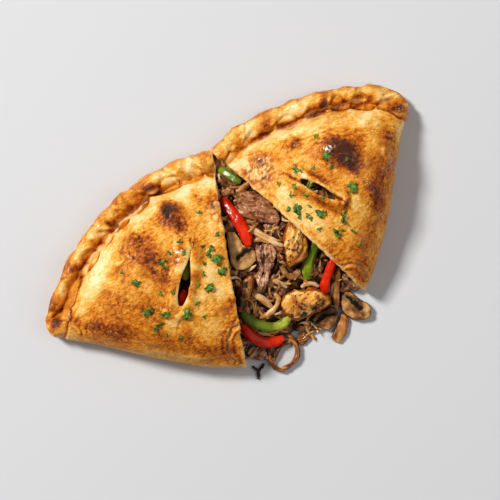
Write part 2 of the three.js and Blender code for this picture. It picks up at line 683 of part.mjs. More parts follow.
const room = []; // grown copies of the pieces placed so far
const nests = []; // plainer copies, for the beds that the pieces lie in
for (const [name, kind, shape] of PIECES) {
  const make = { strip, slice }[shape.path ? "strip" : "slice"];
  const parts = [make(shape), ...(shape.branches ?? []).map((path) => strip({ ...shape, path }))];
  const whole = parts.length > 1 ? wasm.Manifold.union(parts) : parts[0];
  const cut = largest(wasm.Manifold.difference([whole, ...crusts, ...room]));
  addMesh(name, cut, ...KINDS[kind]);
  room.push(grown(whole, GAP * 1.7));
  const rough = make({ ...shape, pace: 7 });
  nests.push(...[rough, ...parts.slice(1)].map((part) => grown(part, GAP * 3.2)));
}

const shreds = SHREDS.map(({ at, turn, length }) => {
  const [dx, dy] = [Math.cos(turn) * length * 0.5, Math.sin(turn) * length * 0.5];
  const bend = (k) => 0.3 * k * k;
  const path = [-1, 0, 1].map((k) => [at[0] + dx * k - dy * bend(k), at[1] + dy * k + dx * bend(k), 0.7]);
  return strip({ path, width: 2.8, thick: 2.4 });
});
const pockets = Object.values(HALVES).map((half) => solidOf(inPlace(half, pocketFilling(half))));
const heap = wasm.Manifold.union([solidOf(heapBody()), ...pockets, ...shreds]);
addMesh("filling", wasm.Manifold.difference([heap, ...crusts, ...nests]), 0x6e4630, 0.6);

export default calzone;
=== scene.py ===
"""A baked calzone, cut across and opened like a fan: crust, filling, vegetables, meat and parsley."""

import itertools
import json
import math
import random
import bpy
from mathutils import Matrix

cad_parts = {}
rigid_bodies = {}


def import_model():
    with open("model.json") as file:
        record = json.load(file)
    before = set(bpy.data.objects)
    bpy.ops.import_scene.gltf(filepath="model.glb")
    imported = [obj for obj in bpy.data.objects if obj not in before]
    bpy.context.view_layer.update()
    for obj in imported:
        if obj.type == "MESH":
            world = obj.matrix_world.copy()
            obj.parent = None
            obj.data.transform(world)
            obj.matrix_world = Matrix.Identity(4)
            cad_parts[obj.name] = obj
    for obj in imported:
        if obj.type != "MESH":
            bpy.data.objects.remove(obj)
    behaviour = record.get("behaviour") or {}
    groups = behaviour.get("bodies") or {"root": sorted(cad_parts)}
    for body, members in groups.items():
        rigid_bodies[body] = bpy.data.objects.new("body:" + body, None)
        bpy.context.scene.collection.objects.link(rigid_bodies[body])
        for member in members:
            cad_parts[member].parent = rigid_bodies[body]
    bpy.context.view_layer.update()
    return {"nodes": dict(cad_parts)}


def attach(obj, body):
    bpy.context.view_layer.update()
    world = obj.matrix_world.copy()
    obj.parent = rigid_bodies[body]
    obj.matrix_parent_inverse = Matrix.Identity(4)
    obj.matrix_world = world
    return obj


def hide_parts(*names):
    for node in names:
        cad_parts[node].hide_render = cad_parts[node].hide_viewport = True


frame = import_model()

from types import SimpleNamespace

import bpy
import numpy as np
from mathutils import Matrix, Vector
from mathutils.bvhtree import BVHTree

MM = 0.001
APEX = (11.0, 78.0)  # mm, where the two halves still touch
TURN = {"left": -18.7, "right": 19.1}  # degrees of each half about the apex
SIDE = {"left": -1.0, "right": 1.0}
# Outlines of the halves in mm: along the crimp from the cut, and down from the crimp.
CRIMP_EDGE = {
    "left": [(0, 0), (24, 3), (49, 11), (78, 27.5), (106, 53), (123.5, 78), (132.5, 95), (134.5, 103)],
    "right": [(0, 0), (20, 0.5), (42, 8), (66, 19), (90, 34), (110, 52), (118, 66), (118.5, 79)],
}
FOLD_EDGE = {
    "left": [(0, 155), (29, 149.5), (66, 136.5), (102, 121.5), (122, 114.5), (131, 110), (134.5, 103)],
    "right": [(0, 147), (25, 136.5), (53, 121), (79, 103), (98, 90.5), (112, 84), (118.5, 79)],
}
CRIMP_WIDTH = 16.5  # mm of the rolled edge
PLEAT = 21.0  # mm from one pleat of the rolled edge to the next
PHASE = {"left": 0.4, "right": 2.1}  # radians, where the pleats begin
CRUST_TOP = 46.0  # mm, above which the crust is held down
PART_TOP = 48.3  # mm, above which no loose bit may stand
ANY_TURN = 6.3  # radians, a full turn

# ---------------------------------------------------------------- workshop helpers


def only(piece):
    """Deselects everything, then selects and activates one piece."""
    bpy.ops.object.select_all(action="DESELECT")
    piece.select_set(True)
    bpy.context.view_layer.objects.active = piece


def apply_modifiers(piece):
    only(piece)
    for modifier in list(piece.modifiers):
        bpy.ops.object.modifier_apply(modifier=modifier.name)


def spots(piece):
    """The piece's points in millimetres."""
    flat = np.empty(len(piece.data.vertices) * 3)
    piece.data.vertices.foreach_get("co", flat)
    return flat.reshape(-1, 3) / MM


def facing(piece):
    """The direction each point faces."""
    flat = np.empty(len(piece.data.vertices) * 3)
    piece.data.vertices.foreach_get("normal", flat)
    return flat.reshape(-1, 3)


def hollows(piece):
    """How hollow each point lies against its neighbours, in mm: above 0 in a crease, below 0 on a ridge."""
    count = len(piece.data.vertices)
    ends = np.empty(len(piece.data.edges) * 2, dtype=np.int64)
    piece.data.edges.foreach_get("vertices", ends)
    a, b = ends[::2], ends[1::2]
    share = np.maximum(np.bincount(a, minlength=count) + np.bincount(b, minlength=count), 1)
    places, soft = spots(piece), spots(piece)
    for _ in range(2):
        sums = [np.bincount(a, soft[b, k], count) + np.bincount(b, soft[a, k], count) for k in range(3)]
        soft = np.column_stack(sums) / share[:, None]
    return np.sum((soft - places) * facing(piece), axis=1)


def move_spots(piece, places):
    piece.data.vertices.foreach_set("co", (places * MM).ravel())
    piece.data.update()


def paint(piece, name, values):
    """Stores a number at each point, for the finish to read."""
    layer = piece.data.attributes.new(name, "FLOAT", "POINT")
    layer.data.foreach_set("value", np.clip(values, 0, 1).astype(np.float32))


def ramp(x, low, high):
    """0 below `low` and 1 above `high`, with a soft rise between; or the other way round."""
    t = np.clip((x - low) / (high - low), 0, 1)
    return t * t * (3 - 2 * t)


def bell(distance, width, power=2):
    """1 on the spot, falling away over `width`; a higher power gives a flatter top."""
    return np.exp(-((distance / width) ** power))


def lattice(cell, seed):
    """A fixed random number from -1 to 1 for each whole-numbered cell."""
    mixed = (cell[..., 0] * 73856093) ^ (cell[..., 1] * 19349663) ^ (cell[..., 2] * 83492791)
    mixed = (mixed + seed * 2654435761) & 0xFFFFFFFF
    mixed = ((mixed ^ (mixed >> 15)) * 2246822519) & 0xFFFFFFFF
    mixed = ((mixed ^ (mixed >> 13)) * 3266489917) & 0xFFFFFFFF
    return ((mixed ^ (mixed >> 16)) & 0xFFFFFF) / 0x7FFFFF - 1.0


def unevenness(places, size, seed, layers=3):
    """Smooth random values from -1 to 1 that change over `size` mm."""
    total = np.zeros(len(places))
    weight, whole = 1.0, 0.0
    for layer in range(layers):
        q = places / size * 2**layer + 31.7 * (seed + 1) + 7.3 * layer
        cell = np.floor(q).astype(np.int64)
        f = q - cell
        f = f * f * (3 - 2 * f)
        value = 0.0
        for corner in range(8):
            step = np.array([corner & 1, corner >> 1 & 1, corner >> 2])
            share = np.prod(np.where(step, f, 1 - f), axis=1)
            value = value + share * lattice(cell + step, seed + layer)
        total += weight * value
        whole += weight
        weight *= 0.5
    return total / whole * 1.6


def shaken(places, amount, size, seeds, layers=2):
    """The places, shifted unevenly by `amount` mm: in plan with two seeds, in space with three."""
    shift = np.column_stack([unevenness(places, size, seed, layers) for seed in seeds])
    return places[:, : len(seeds)] + amount * shift


def distance_to_line(xy, line):
    """Distance of each [x, y] from a chain of points, and how far along it lies."""
    best = np.full(len(xy), 1e9)
    along = np.zeros(len(xy))
    run = 0.0
    for a, b in zip(line[:-1], line[1:]):
        a, b = np.array(a[:2], float), np.array(b[:2], float)
        d = b - a
        length = np.hypot(*d)
        t = np.clip(((xy - a) @ d) / (length * length), 0, 1)
        gap = np.hypot(*(xy - a - t[:, None] * d).T)
        near = gap < best
        best = np.where(near, gap, best)
        along = np.where(near, run + t * length, along)
        run += length
    return best, along


def smooth_line(points):
    """A Catmull-Rom curve through the points."""
    steps = 8
    pts = [np.array(p, float) for p in points]
    pts = [2 * pts[0] - pts[1], *pts, 2 * pts[-1] - pts[-2]]
    line = []
    for a, b, c, d in zip(pts, pts[1:], pts[2:], pts[3:]):
        for i in range(steps):
            t = i / steps
            bend = (2 * a - 5 * b + 4 * c - d) * t * t + (3 * b - a - 3 * c + d) * t**3
            line.append(0.5 * (2 * b + (c - a) * t + bend))
    line.append(pts[-2])
    return line


def soft_copy(node, name, voxel, ease):
    """A copy of a solid with a fine, even skin and its corners eased; sizes in mm."""
    mesh = frame["nodes"][node].data.copy()
    mesh.materials.clear()
    piece = bpy.data.objects.new(name, mesh)
    mesh.name = name
    bpy.context.scene.collection.objects.link(piece)
    only(piece)
    bpy.ops.object.mode_set(mode="EDIT")
    bpy.ops.mesh.select_all(action="SELECT")
    bpy.ops.mesh.remove_doubles(threshold=1e-6)
    bpy.ops.object.mode_set(mode="OBJECT")
    skin = piece.modifiers.new("skin", "REMESH")
    skin.mode = "VOXEL"
    skin.voxel_size = voxel * MM
    skin.use_smooth_shade = True
    rub = piece.modifiers.new("rub", "SMOOTH")
    rub.factor = 0.5
    rub.iterations = ease
    apply_modifiers(piece)
    return piece


def finish_piece(piece, finish, slot, *nodes):
    """Gives the piece its finish and its place in the frame."""
    piece.data.materials.clear()
    piece.data.materials.append(finish)
    only(piece)
    bpy.ops.object.shade_smooth()
    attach(piece, "root")
    if nodes:
        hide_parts(*nodes)


def skin_tree(piece):
    return BVHTree.FromObject(piece, bpy.context.evaluated_depsgraph_get())


# ---------------------------------------------------------------- finishes


def add(tree, kind, **inputs):
    """A shader node with its inputs set by name, or by number as i0; a socket as a value is linked."""
    node = tree.nodes.new(kind)
    for key, value in inputs.items():
        if key.startswith("set_"):
            setattr(node, key[4:], value)
            continue
        numbered = key[0] == "i" and key[1:].isdigit()
        socket = node.inputs[int(key[1:]) if numbered else key.replace("_", " ")]
        if isinstance(value, bpy.types.NodeSocket):
            tree.links.new(value, socket)
        else:
            socket.default_value = value
    return node


def maths(tree, operation, a, b=0.0, clamp=False):
    return add(tree, "ShaderNodeMath", set_operation=operation, set_use_clamp=clamp, i0=a, i1=b).outputs[0]


def swing(tree, level, mask, amount, clamp=False):
    """A level that a mask of 0 to 1 moves down and up."""
    shift = maths(tree, "MULTIPLY", maths(tree, "SUBTRACT", mask, 0.5), amount)
    return maths(tree, "ADD", level, shift, clamp)


def colours(tree, factor, stops):
    """A colour ramp; each stop is (position, (r, g, b))."""
    node = add(tree, "ShaderNodeValToRGB", Fac=factor)
    bar = node.color_ramp
    while len(bar.elements) < len(stops):
        bar.elements.new(0.5)
    for element, (position, colour) in zip(bar.elements, stops):
        element.position = position
        element.color = (*colour, 1)
    return node.outputs["Color"]


def blend_colours(tree, factor, a, b):
    node = tree.nodes.new("ShaderNodeMix")
    node.data_type = "RGBA"
    for socket, value in ((node.inputs[0], factor), (node.inputs[6], a), (node.inputs[7], b)):
        if isinstance(value, bpy.types.NodeSocket):
            tree.links.new(value, socket)
        elif socket.type == "VALUE":
            socket.default_value = value
        else:
            socket.default_value = (*value, 1)
    return node.outputs[2]


def painted(tree, name):
    return add(tree, "ShaderNodeAttribute", set_attribute_name=name).outputs["Fac"]


def group_of(name, sockets, build):
    """A shader node group; sockets are (name, in or out, default)."""
    tree = bpy.data.node_groups.new(name, "ShaderNodeTree")
    for label, way, default in sockets:
        in_out = "INPUT" if way == "in" else "OUTPUT"
        socket = tree.interface.new_socket(label, in_out=in_out, socket_type="NodeSocketFloat")
        if way == "in":
            socket.default_value = default
    entry = tree.nodes.new("NodeGroupInput")
    way_out = tree.nodes.new("NodeGroupOutput")
    build(tree, entry.outputs, way_out.inputs)
    return tree


def use_group(tree, group, **inputs):
    node = tree.nodes.new("ShaderNodeGroup")
    node.node_tree = group
    for key, value in inputs.items():
        node.inputs[key.replace("_", " ")].default_value = value
    return node.outputs


def noise(tree, where, scale, **inputs):
    return add(tree, "ShaderNodeTexNoise", Vector=where, Scale=scale, **inputs).outputs[0]


def build_mottle(tree, given, out):
    """Cloudy patches over a fine grain, each with its own scale."""
    where = add(tree, "ShaderNodeTexCoord").outputs["Object"]
    cloud = noise(tree, where, given["Patch scale"], Detail=4.0, Roughness=0.6)
    grain = noise(tree, where, given["Grain scale"], Detail=3.0, Roughness=0.65)
    tree.links.new(cloud, out["Patches"])
    tree.links.new(grain, out["Grain"])


def build_round_specks(tree, given, out):
    """Small round specks, only where a slower pattern lets them show; the crust makes dark freckles and pale
    painted glints of them.
    """
    where = add(tree, "ShaderNodeTexCoord").outputs["Object"]
    dots = add(tree, "ShaderNodeTexVoronoi", Vector=where, Scale=given["Scale"], Randomness=1.0)
    slower = maths(tree, "MULTIPLY", given["Scale"], 0.22)
    zone = noise(tree, where, slower, Detail=2.0)
    reach = maths(tree, "MULTIPLY", maths(tree, "SUBTRACT", zone, 0.42), given["Amount"])
    mask = maths(tree, "SUBTRACT", reach, dots.outputs["Distance"])
    tree.links.new(maths(tree, "MULTIPLY", mask, 6.0, clamp=True), out["Freckles"])


def build_streaks(tree, given, out):
    """Short brushed flecks that lie one way."""
    where = add(tree, "ShaderNodeTexCoord").outputs["Object"]
    turned = add(tree, "ShaderNodeMapping", Vector=where)
    turned.inputs["Rotation"].default_value = (0, 0, 0.75)
    turned.inputs["Scale"].default_value = (0.32, 1.0, 0.7)
    flecks = noise(tree, turned.outputs[0], given["Scale"], Detail=3.0, Roughness=0.6)
    tree.links.new(flecks, out["Streaks"])


MOTTLE = group_of(
    "Mottle",
    [("Patch scale", "in", 120.0), ("Grain scale", "in", 900.0), ("Patches", "out", 0), ("Grain", "out", 0)],
    build_mottle,
)
ROUND_SPECKS = group_of(
    "Freckles", [("Scale", "in", 500.0), ("Amount", "in", 3.0), ("Freckles", "out", 0)], build_round_specks
)
STREAKS = group_of("Streaks", [("Scale", "in", 900.0), ("Streaks", "out", 0)], build_streaks)


def new_finish(name, roughness, coat=0.0, coat_roughness=0.12, scatter=0.0, scatter_radius=(1, 0.5, 0.25)):
    """A material with a soft gleam; `scatter` is how much light goes into it."""
    material = bpy.data.materials.new(name)
    material.use_nodes = True
    tree = material.node_tree
    shader = tree.nodes["Principled BSDF"]
    shader.inputs["Roughness"].default_value = roughness
    shader.inputs["Coat Weight"].default_value = coat
    shader.inputs["Coat Roughness"].default_value = coat_roughness
    shader.inputs["Specular IOR Level"].default_value = 0.22
    if scatter:
        shader.inputs["Subsurface Weight"].default_value = scatter
        shader.inputs["Subsurface Radius"].default_value = scatter_radius
        shader.inputs["Subsurface Scale"].default_value = 0.002
    return material, tree, shader


def raise_surface(tree, shader, height, depth, strength):
    """Bump of `depth` mm from a height of 0 to 1."""
    bump = add(tree, "ShaderNodeBump", Strength=strength, Distance=depth * MM, Height=height)
    tree.links.new(bump.outputs[0], shader.inputs["Normal"])


def make_crust_finish():
    material, tree, shader = new_finish("baked_crust", 0.45, coat_roughness=0.14)
    shader.inputs["Specular IOR Level"].default_value = 0.28
    bake, char, raw, oil = (painted(tree, k) for k in ("bake", "char", "raw", "oil"))
    mottle = use_group(tree, MOTTLE, Patch_scale=260.0, Grain_scale=1150.0)
    streaks = use_group(tree, STREAKS, Scale=950.0)["Streaks"]
    freckle = use_group(tree, ROUND_SPECKS, Scale=620.0, Amount=1.9)["Freckles"]
    painted_glints = use_group(tree, ROUND_SPECKS, Scale=470.0, Amount=1.6)["Freckles"]
    level = swing(tree, bake, mottle["Patches"], 0.34)
    level = swing(tree, level, mottle["Grain"], 0.46)
    level = swing(tree, level, streaks, 0.62)
    specks = maths(tree, "MULTIPLY", freckle, maths(tree, "MULTIPLY", bake, 0.18))
    level = maths(tree, "ADD", level, specks, clamp=True)
    toast = colours(tree, level, [
        (0.00, (0.95, 0.75, 0.44)), (0.20, (0.88, 0.54, 0.155)), (0.40, (0.73, 0.30, 0.022)),
        (0.58, (0.50, 0.138, 0.005)), (0.78, (0.21, 0.036, 0.002)), (1.00, (0.055, 0.011, 0.003)),
    ])
    # Painted glints: small pale specks in the colour stand in for highlights on the crust.
    toast = blend_colours(tree, maths(tree, "MULTIPLY", painted_glints, 0.45), toast, (0.93, 0.60, 0.22))
    crumb = colours(tree, mottle["Grain"], [(0.3, (0.72, 0.42, 0.17)), (0.7, (0.93, 0.72, 0.42))])
    tone = blend_colours(tree, raw, toast, crumb)
    tone = blend_colours(tree, char, tone, (0.022, 0.008, 0.006))
    tree.links.new(tone, shader.inputs["Base Color"])
    grainy = maths(tree, "MULTIPLY", mottle["Grain"], 0.35)
    rough = maths(tree, "ADD", grainy, maths(tree, "MULTIPLY", raw, 0.3))
    rough = maths(tree, "ADD", rough, 0.42)
    rough = maths(tree, "SUBTRACT", rough, maths(tree, "MULTIPLY", oil, 0.5), clamp=True)
    tree.links.new(rough, shader.inputs["Roughness"])
    beads = maths(tree, "MULTIPLY", maths(tree, "SUBTRACT", mottle["Grain"], 0.42), 5.0, clamp=True)
    tree.links.new(maths(tree, "MULTIPLY", oil, beads), shader.inputs["Coat Weight"])
    grainy = maths(tree, "MULTIPLY", mottle["Grain"], 0.6)
    height = maths(tree, "ADD", grainy, maths(tree, "MULTIPLY", streaks, 0.5))
    wet = maths(tree, "MULTIPLY", maths(tree, "MULTIPLY", oil, mottle["Grain"]), 0.9)
    raise_surface(tree, shader, maths(tree, "ADD", height, wet), 0.75, 0.8)
    return material


# ---------------------------------------------------------------- the two crusts

# Marks left by the oven: x, y and reach in mm, and strength.
BROWNED = {
    "left": [
        (-35.4, 52.4, 8.2, 0.62), (-32.6, 43.1, 6.1, 0.40), (-31.5, 36.4, 4.8, 0.50),
        (-49.5, 52.2, 5.4, 0.20), (-67.2, 43.7, 10.2, 0.40), (-59.2, 47.2, 7.5, 0.30),
        (-59.2, 34.0, 8.2, 0.35), (-75.4, 37.2, 6.8, 0.25), (-60.7, 22.4, 8.2, 0.45),
        (-56.7, 12.4, 7.5, 0.30), (-83.6, 29.1, 6.8, 0.20), (-97.7, 17.2, 8.8, 0.22),
        (-87.7, 9.5, 10.2, 0.25), (-77.9, -1.1, 8.8, 0.25), (-113.3, 5.3, 9.5, 0.30),
        (-130.1, 10.3, 8.8, 0.22), (-100.4, -7.0, 10.2, 0.18), (-87.2, -18.7, 8.2, 0.12),
        (-63.0, -31.6, 7.5, 0.30), (-140.8, 20.7, 6.1, 0.22), (-58.1, -44.3, 8.8, 0.20),
        (-22.9, -21.8, 4.8, 0.42), (-28.3, -29.1, 4.8, 0.30), (-4.1, 41.2, 6.1, 0.28),
        (-3.4, 32.3, 4.8, 0.32), (-10.6, 52.4, 6.1, 0.18), (-4.3, 20.3, 3.4, 0.20),
        (-38.9, 22.4, 2.7, 0.25), (-45.5, 18.9, 3.4, 0.30), (-78.5, 70.7, 3.4, 0.20),
        (-114.1, 21.3, 3.4, 0.15), (-40.9, 5.6, 2.7, 0.35), (-77.0, -28.8, 8.2, 0.16),
    ],
    "right": [
        (80.0, 42.5, 9.0, 0.34), (78.5, 31.0, 6.0, 0.25), (87.5, 33.7, 9.8, 0.62),
        (89.1, 26.6, 8.2, 0.50), (83.3, 40.5, 7.5, 0.35), (90.2, 19.8, 6.1, 0.45),
        (94.4, 30.8, 4.8, 0.30), (65.9, 56.0, 4.8, 0.52), (58.6, 54.3, 4.4, 0.46),
        (38.6, 55.8, 6.1, 0.32), (52.8, 60.6, 6.1, 0.15), (94.9, -0.6, 6.1, 0.42),
        (95.6, -9.5, 6.8, 0.30), (93.2, 5.0, 4.8, 0.25), (106.6, 1.0, 7.5, 0.25),
        (93.4, -23.8, 8.2, 0.22), (98.0, 52.1, 6.1, 0.20), (95.2, 61.4, 6.1, 0.20),
        (102.9, 37.9, 6.1, 0.20), (135.5, 39.2, 7.5, 0.20), (125.2, 22.9, 6.1, 0.25),
        (115.7, 10.9, 7.5, 0.25), (61.8, 24.8, 5.4, 0.30), (67.5, 9.3, 4.8, 0.35), (74.1, 2.7, 3.4, 0.45),
        (60.1, -27.9, 8.8, 0.15), (72.1, -27.3, 8.8, 0.15), (74.4, -44.8, 7.5, 0.15),
        (33.9, 39.6, 4.8, 0.30), (54.8, -21.9, 4.8, 0.20), (59.9, 12.6, 2.7, 0.30),
        (47.9, 71.8, 2.7, 0.15), (69.3, 44.9, 4.1, 0.20), (100.6, 20.5, 5.4, 0.20),
        (84.9, 53.7, 4.8, 0.18),
    ],
}
CREAMY = {
    "left": [
        (-75.8, 58.3, 7.5, 0.22), (-95.7, 45.6, 7.5, 0.25), (-101.3, 30.7, 7.5, 0.20),
        (-58.8, 64.0, 6.1, 0.20), (-42.1, 66.1, 6.1, 0.18), (-16.8, 62.7, 7.5, 0.20),
        (-1.9, 57.1, 6.8, 0.20), (-27.9, 9.6, 7.5, 0.26), (-27.9, -0.5, 7.5, 0.26),
        (-28.5, -13.4, 6.1, 0.24), (-42.6, -12.1, 7.5, 0.22), (-64.7, -14.4, 6.1, 0.26),
        (-34.6, 13.1, 3.4, 0.30), (-50.4, -8.0, 4.1, 0.25), (-17.8, 21.3, 6.8, 0.15),
        (-24.0, 52.0, 10.0, 0.10),
    ],
    "right": [
        (68.0, -24.0, 15.0, 0.17), (52.0, -6.0, 10.0, 0.08), (75.7, 68.7, 7.5, 0.20),
        (57.1, 70.0, 6.1, 0.20), (106.5, 59.3, 6.1, 0.22), (113.8, 43.8, 5.4, 0.18),
        (112.8, 28.8, 6.1, 0.12), (41.2, 24.1, 7.5, 0.26), (42.4, 11.8, 8.8, 0.26),
        (48.3, 0.9, 7.5, 0.22), (49.5, -11.4, 6.1, 0.18), (22.2, 61.4, 5.4, 0.20),
        (29.0, 65.5, 4.8, 0.18), (80.1, -3.6, 4.8, 0.22), (83.2, -13.8, 5.4, 0.16),
        (37.4, 69.6, 5.4, 0.16), (121.3, 35.9, 5.4, 0.12), (54.7, 24.7, 4.1, 0.22),
        (112.9, 21.7, 2.7, 0.30),
    ],
}
BLISTERS = {  # x, y, reach and height in mm
    "left": [
        (-36, 53.3, 8, 1.8), (-29.7, 48.5, 4, 0.9), (-64.7, 25, 3.2, 0.9), (-66, 33, 6, 0.9),
        (-59, 17, 4, 0.6), (-23, -22.3, 2.2, 1.2), (-39.8, -23.4, 1.6, 1.4), (-101, 12, 4, 0.5),
        (-85, 40, 3, 0.4), (-47, -1, 2.5, 0.7),
    ],
    "right": [
        (57.2, 56.1, 3.4, 1.3), (62.5, 55.5, 3.2, 1.1), (88, 31, 13, 0.7), (33.8, 55.5, 4, 0.7),
        (95.1, -0.2, 5, 0.8), (73.8, 0.3, 2.6, 1.2), (60, 12, 3, 0.9), (109, 47.8, 1.6, 0.7),
        (105, 51, 1.3, 0.6), (23, 51.5, 4, 0.7), (84, 24, 3, 0.6),
    ],
}
# Lines on the roof, x and y in mm: the pressed line inside the crimp, the crack by the fold and the vents.
GROOVE = {
    "left": [
        (-112.5, 34.6), (-108, 41.7), (-101.9, 48.7), (-93.7, 52.3), (-84.9, 53.9), (-76.6, 59),
        (-71.2, 63.3), (-62.1, 64), (-53.3, 65.7), (-46.7, 67.7), (-41.6, 71.3), (-35.4, 71.1),
    ],
    "right": [
        (34.8, 64.7), (45.5, 66.9), (59.9, 67.2), (74.8, 65.6), (87, 66.2), (97.9, 64.4), (108.2, 61.3),
        (117.5, 59.5), (121.9, 58.8),
    ],
}
CRACKS = {
    "left": [(-27.3, -37.5), (-34.7, -39.7), (-41, -45.7), (-43.7, -53.6), (-43.8, -59.8)],
    "right": [(47.9, -30.7), (51.4, -35.7), (59.7, -37.8), (64.1, -44.1), (64.6, -50.5)],
}
VENTS = {"left": [(-34.3, 20.5), (-59.3, -11.2)], "right": [(53, 31), (70.7, 4.5)]}
FLAKY = {"left": (-4, 36.5, 6), "right": (30, 50, 10)}  # x, y, reach in mm of the places that peel in flakes
# Where the vent goes on as a crack.
SPLITS = {"left": [(-30.5, 29), (-34.3, 20.5)], "right": [(49.5, 34), (74.5, 1)]}
# How far the lips of the vent lean in, in mm, at its upper and its lower end.
LEAN = {"left": (1.5, -0.5), "right": (-0.2, -0.3)}
INNER_EDGE = {"left": 17.0, "right": 14.6}  # mm from the outer edge to where the roll meets the roof
BAKED = {"left": 0.375, "right": 0.385}  # how far the plain dough is baked
SPLIT_BROWN = {"left": 0.1, "right": 0.3}  # how much browner the split is
BLACK_BLISTER = (-35.5, 52, 3.4)  # x, y, reach in mm, on the left half


def in_half(places, half):
    """Object millimetres to the half's own: along the crimp from the cut, and down from the crimp."""
    angle = math.radians(TURN[half])
    x = places[:, 0] - APEX[0]
    y = places[:, 1] - APEX[1]
    u = math.cos(angle) * x + math.sin(angle) * y
    v = -math.sin(angle) * x + math.cos(angle) * y
    return np.column_stack([SIDE[half] * u, -v])


def away_from(places, x, y):
    """How far each point is from a spot, seen from above."""
    return np.hypot(places[:, 0] - x, places[:, 1] - y)


def browning(xy, marks):
    """Marks that deepen where they meet: (x, y, reach, strength)."""
    left = np.ones(len(xy))
    for x, y, reach, strength in marks:
        left *= 1 - strength * np.exp(-((((xy[:, 0] - x) ** 2 + (xy[:, 1] - y) ** 2) / reach**2) ** 1.3))
    return 1 - left


def lay_out(piece, half):
    """Where each point of a crust lies: from its edges, pleats, lines, flaky patch and vent, in mm."""
    places, normals = spots(piece), facing(piece)
    at = SimpleNamespace(half=half, places=places, normals=normals, local=in_half(places, half))
    at.edge, at.along = distance_to_line(at.local, smooth_line(CRIMP_EDGE[half]))
    at.fold, _ = distance_to_line(at.local, smooth_line(FOLD_EDGE[half]))
    at.upward = ramp(normals[:, 2], -0.1, 0.4)
    at.top = at.upward * ramp(places[:, 2], 3, 7)
    at.wander = shaken(places, 5.0, 14, (1, 2, 3), 3)
    at.swell = shaken(places, 0.8, 5, (36, 37))
    # The rolled edge: how many pleats along, how far over the pleat, and where the roll ends.
    at.share = at.edge / CRIMP_WIDTH
    at.winding = at.along / PLEAT + 0.414 * at.share + PHASE[half] / (2 * math.pi)
    at.winding += 0.175 * np.sin(at.along / 15)
    at.lobe = at.winding % 1.0
    at.bulge = np.sin(math.pi * at.lobe) ** 0.7
    at.inner_edge = INNER_EDGE[half] + 3.0 * (at.bulge - 0.6) + 2.0 * unevenness(places, 12, 14, 2)
    at.rope = ramp(at.inner_edge + 1 - at.edge, 0, 2.5) * ramp(places[:, 2], 2, 6)
    at.trench = bell(at.edge - at.inner_edge, 1.5) * at.top
    at.groove, _ = distance_to_line(shaken(places, 0.8, 6, (41, 42)), smooth_line(GROOVE[half]))
    at.crack, _ = distance_to_line(shaken(places, 0.9, 4, (43, 44)), smooth_line(CRACKS[half]))
    at.split, _ = distance_to_line(shaken(places, 0.4, 4, (45, 46)), SPLITS[half])
    x, y, reach = FLAKY[half]
    at.flaky = ramp(1.6 - away_from(at.swell, x, y) / reach, 0, 0.4) * at.top
    at.peel = ramp(unevenness(places, 6, 51, 3), -0.05, 0.12)
    # The vent: how far from the slit, which side of it, and how much on the side of the cut.
    at.lip, _ = distance_to_line(places[:, :2], VENTS[half])
    (x0, y0), (x1, y1) = VENTS[half]
    at.slit = math.hypot(x1 - x0, y1 - y0)
    at.across = np.array([(y1 - y0), -(x1 - x0)])
    at.beside = ((places[:, 0] - x0) * (y1 - y0) - (places[:, 1] - y0) * (x1 - x0)) / at.slit
    at.cutward = ramp(at.beside * -SIDE[half], -1, 1)
    return at


# The first of these makes the relief in mm, the next three add to it, and the last three move the places.


def fold_rolled_edge(at):
    """Lobes pinched along the rolled edge, each lapping over the next."""
    places, lobe, share = at.places, at.lobe, at.share
    pinched = ramp(unevenness(places, 26, 19, 1), -0.25, 0.5)
    gathers = np.sin(lobe * 22 + 4 * share + 2 * unevenness(places, 8, 12, 2)) * ramp(share, 0.2, 0.9)
    gathers *= ramp(unevenness(places, 11, 15, 2), -0.1, 0.4)
    roll = share + 0.22 * np.sin(2 * math.pi * lobe) + 0.25 * unevenness(places, 13, 16, 2)
    lengthwise = bell(roll - 0.42, 0.16) - 0.8 * bell(roll - 0.72, 0.12)
    folds = 0.5 * pinched * (at.bulge - 0.65) + 0.4 * pinched * (lobe**3 - 0.3)
    folds = at.rope * (folds + 0.12 * gathers + 0.9 * lengthwise + 0.32 * unevenness(places, 7, 13, 2))
    return folds - at.rope * 0.55 * pinched * bell(np.minimum(lobe, 1 - lobe), 0.04)


def raise_roof(at, relief):
    """Uneven dough, the wrinkles that the crimp pulled into it, and the blisters."""
    places, top = at.places, at.top
    relief -= 1.6 * at.trench * (0.6 + 0.4 * unevenness(places, 15, 18, 2))
    lumps = 0.5 * unevenness(places, 16, 31, 2) + 0.18 * unevenness(places, 5, 32, 2)
    relief += top * (1 - at.rope) * (lumps + 0.11 * unevenness(places, 2.4, 33, 2))
    relief += (1 - top) * 0.2 * unevenness(places, 6, 34)
    pull = ramp(at.edge, CRIMP_WIDTH + 1, CRIMP_WIDTH + 6) * ramp(CRIMP_WIDTH + 30 - at.edge, 0, 14) * top
    swirl, _ = distance_to_line(in_half(at.wander, at.half), smooth_line(CRIMP_EDGE[at.half]))
    relief += pull * np.sin(swirl * 1.1) * 0.28 * ramp(unevenness(places, 15, 21, 2), 0.05, 0.5)
    for x, y, reach, height in BLISTERS[at.half]:
        relief += height * bell(away_from(at.swell, x, y), reach, 3) * top
    browned = ramp(browning(places[:, :2], BROWNED[at.half]), 0.05, 0.35)
    relief += 0.38 * unevenness(places, 2.6, 88, 2) * browned * top


def score_lines(at, relief):
    """The pressed line, the crack by the fold, the flaky patch, and the split that the vent goes on as."""
    relief -= 0.8 * at.top * bell(at.groove, 0.9)
    relief -= 1.2 * at.upward * bell(at.crack, 0.8)
    relief += 0.7 * at.upward * bell(at.crack - 2.2, 1.0)
    flakes = 0.055 * at.peel + 0.035 * unevenness(at.places, 2.2, 52, 2)
    relief += at.flaky * FLAKY[at.half][2] * flakes
    relief -= 0.7 * at.top * bell(at.split, 0.9)


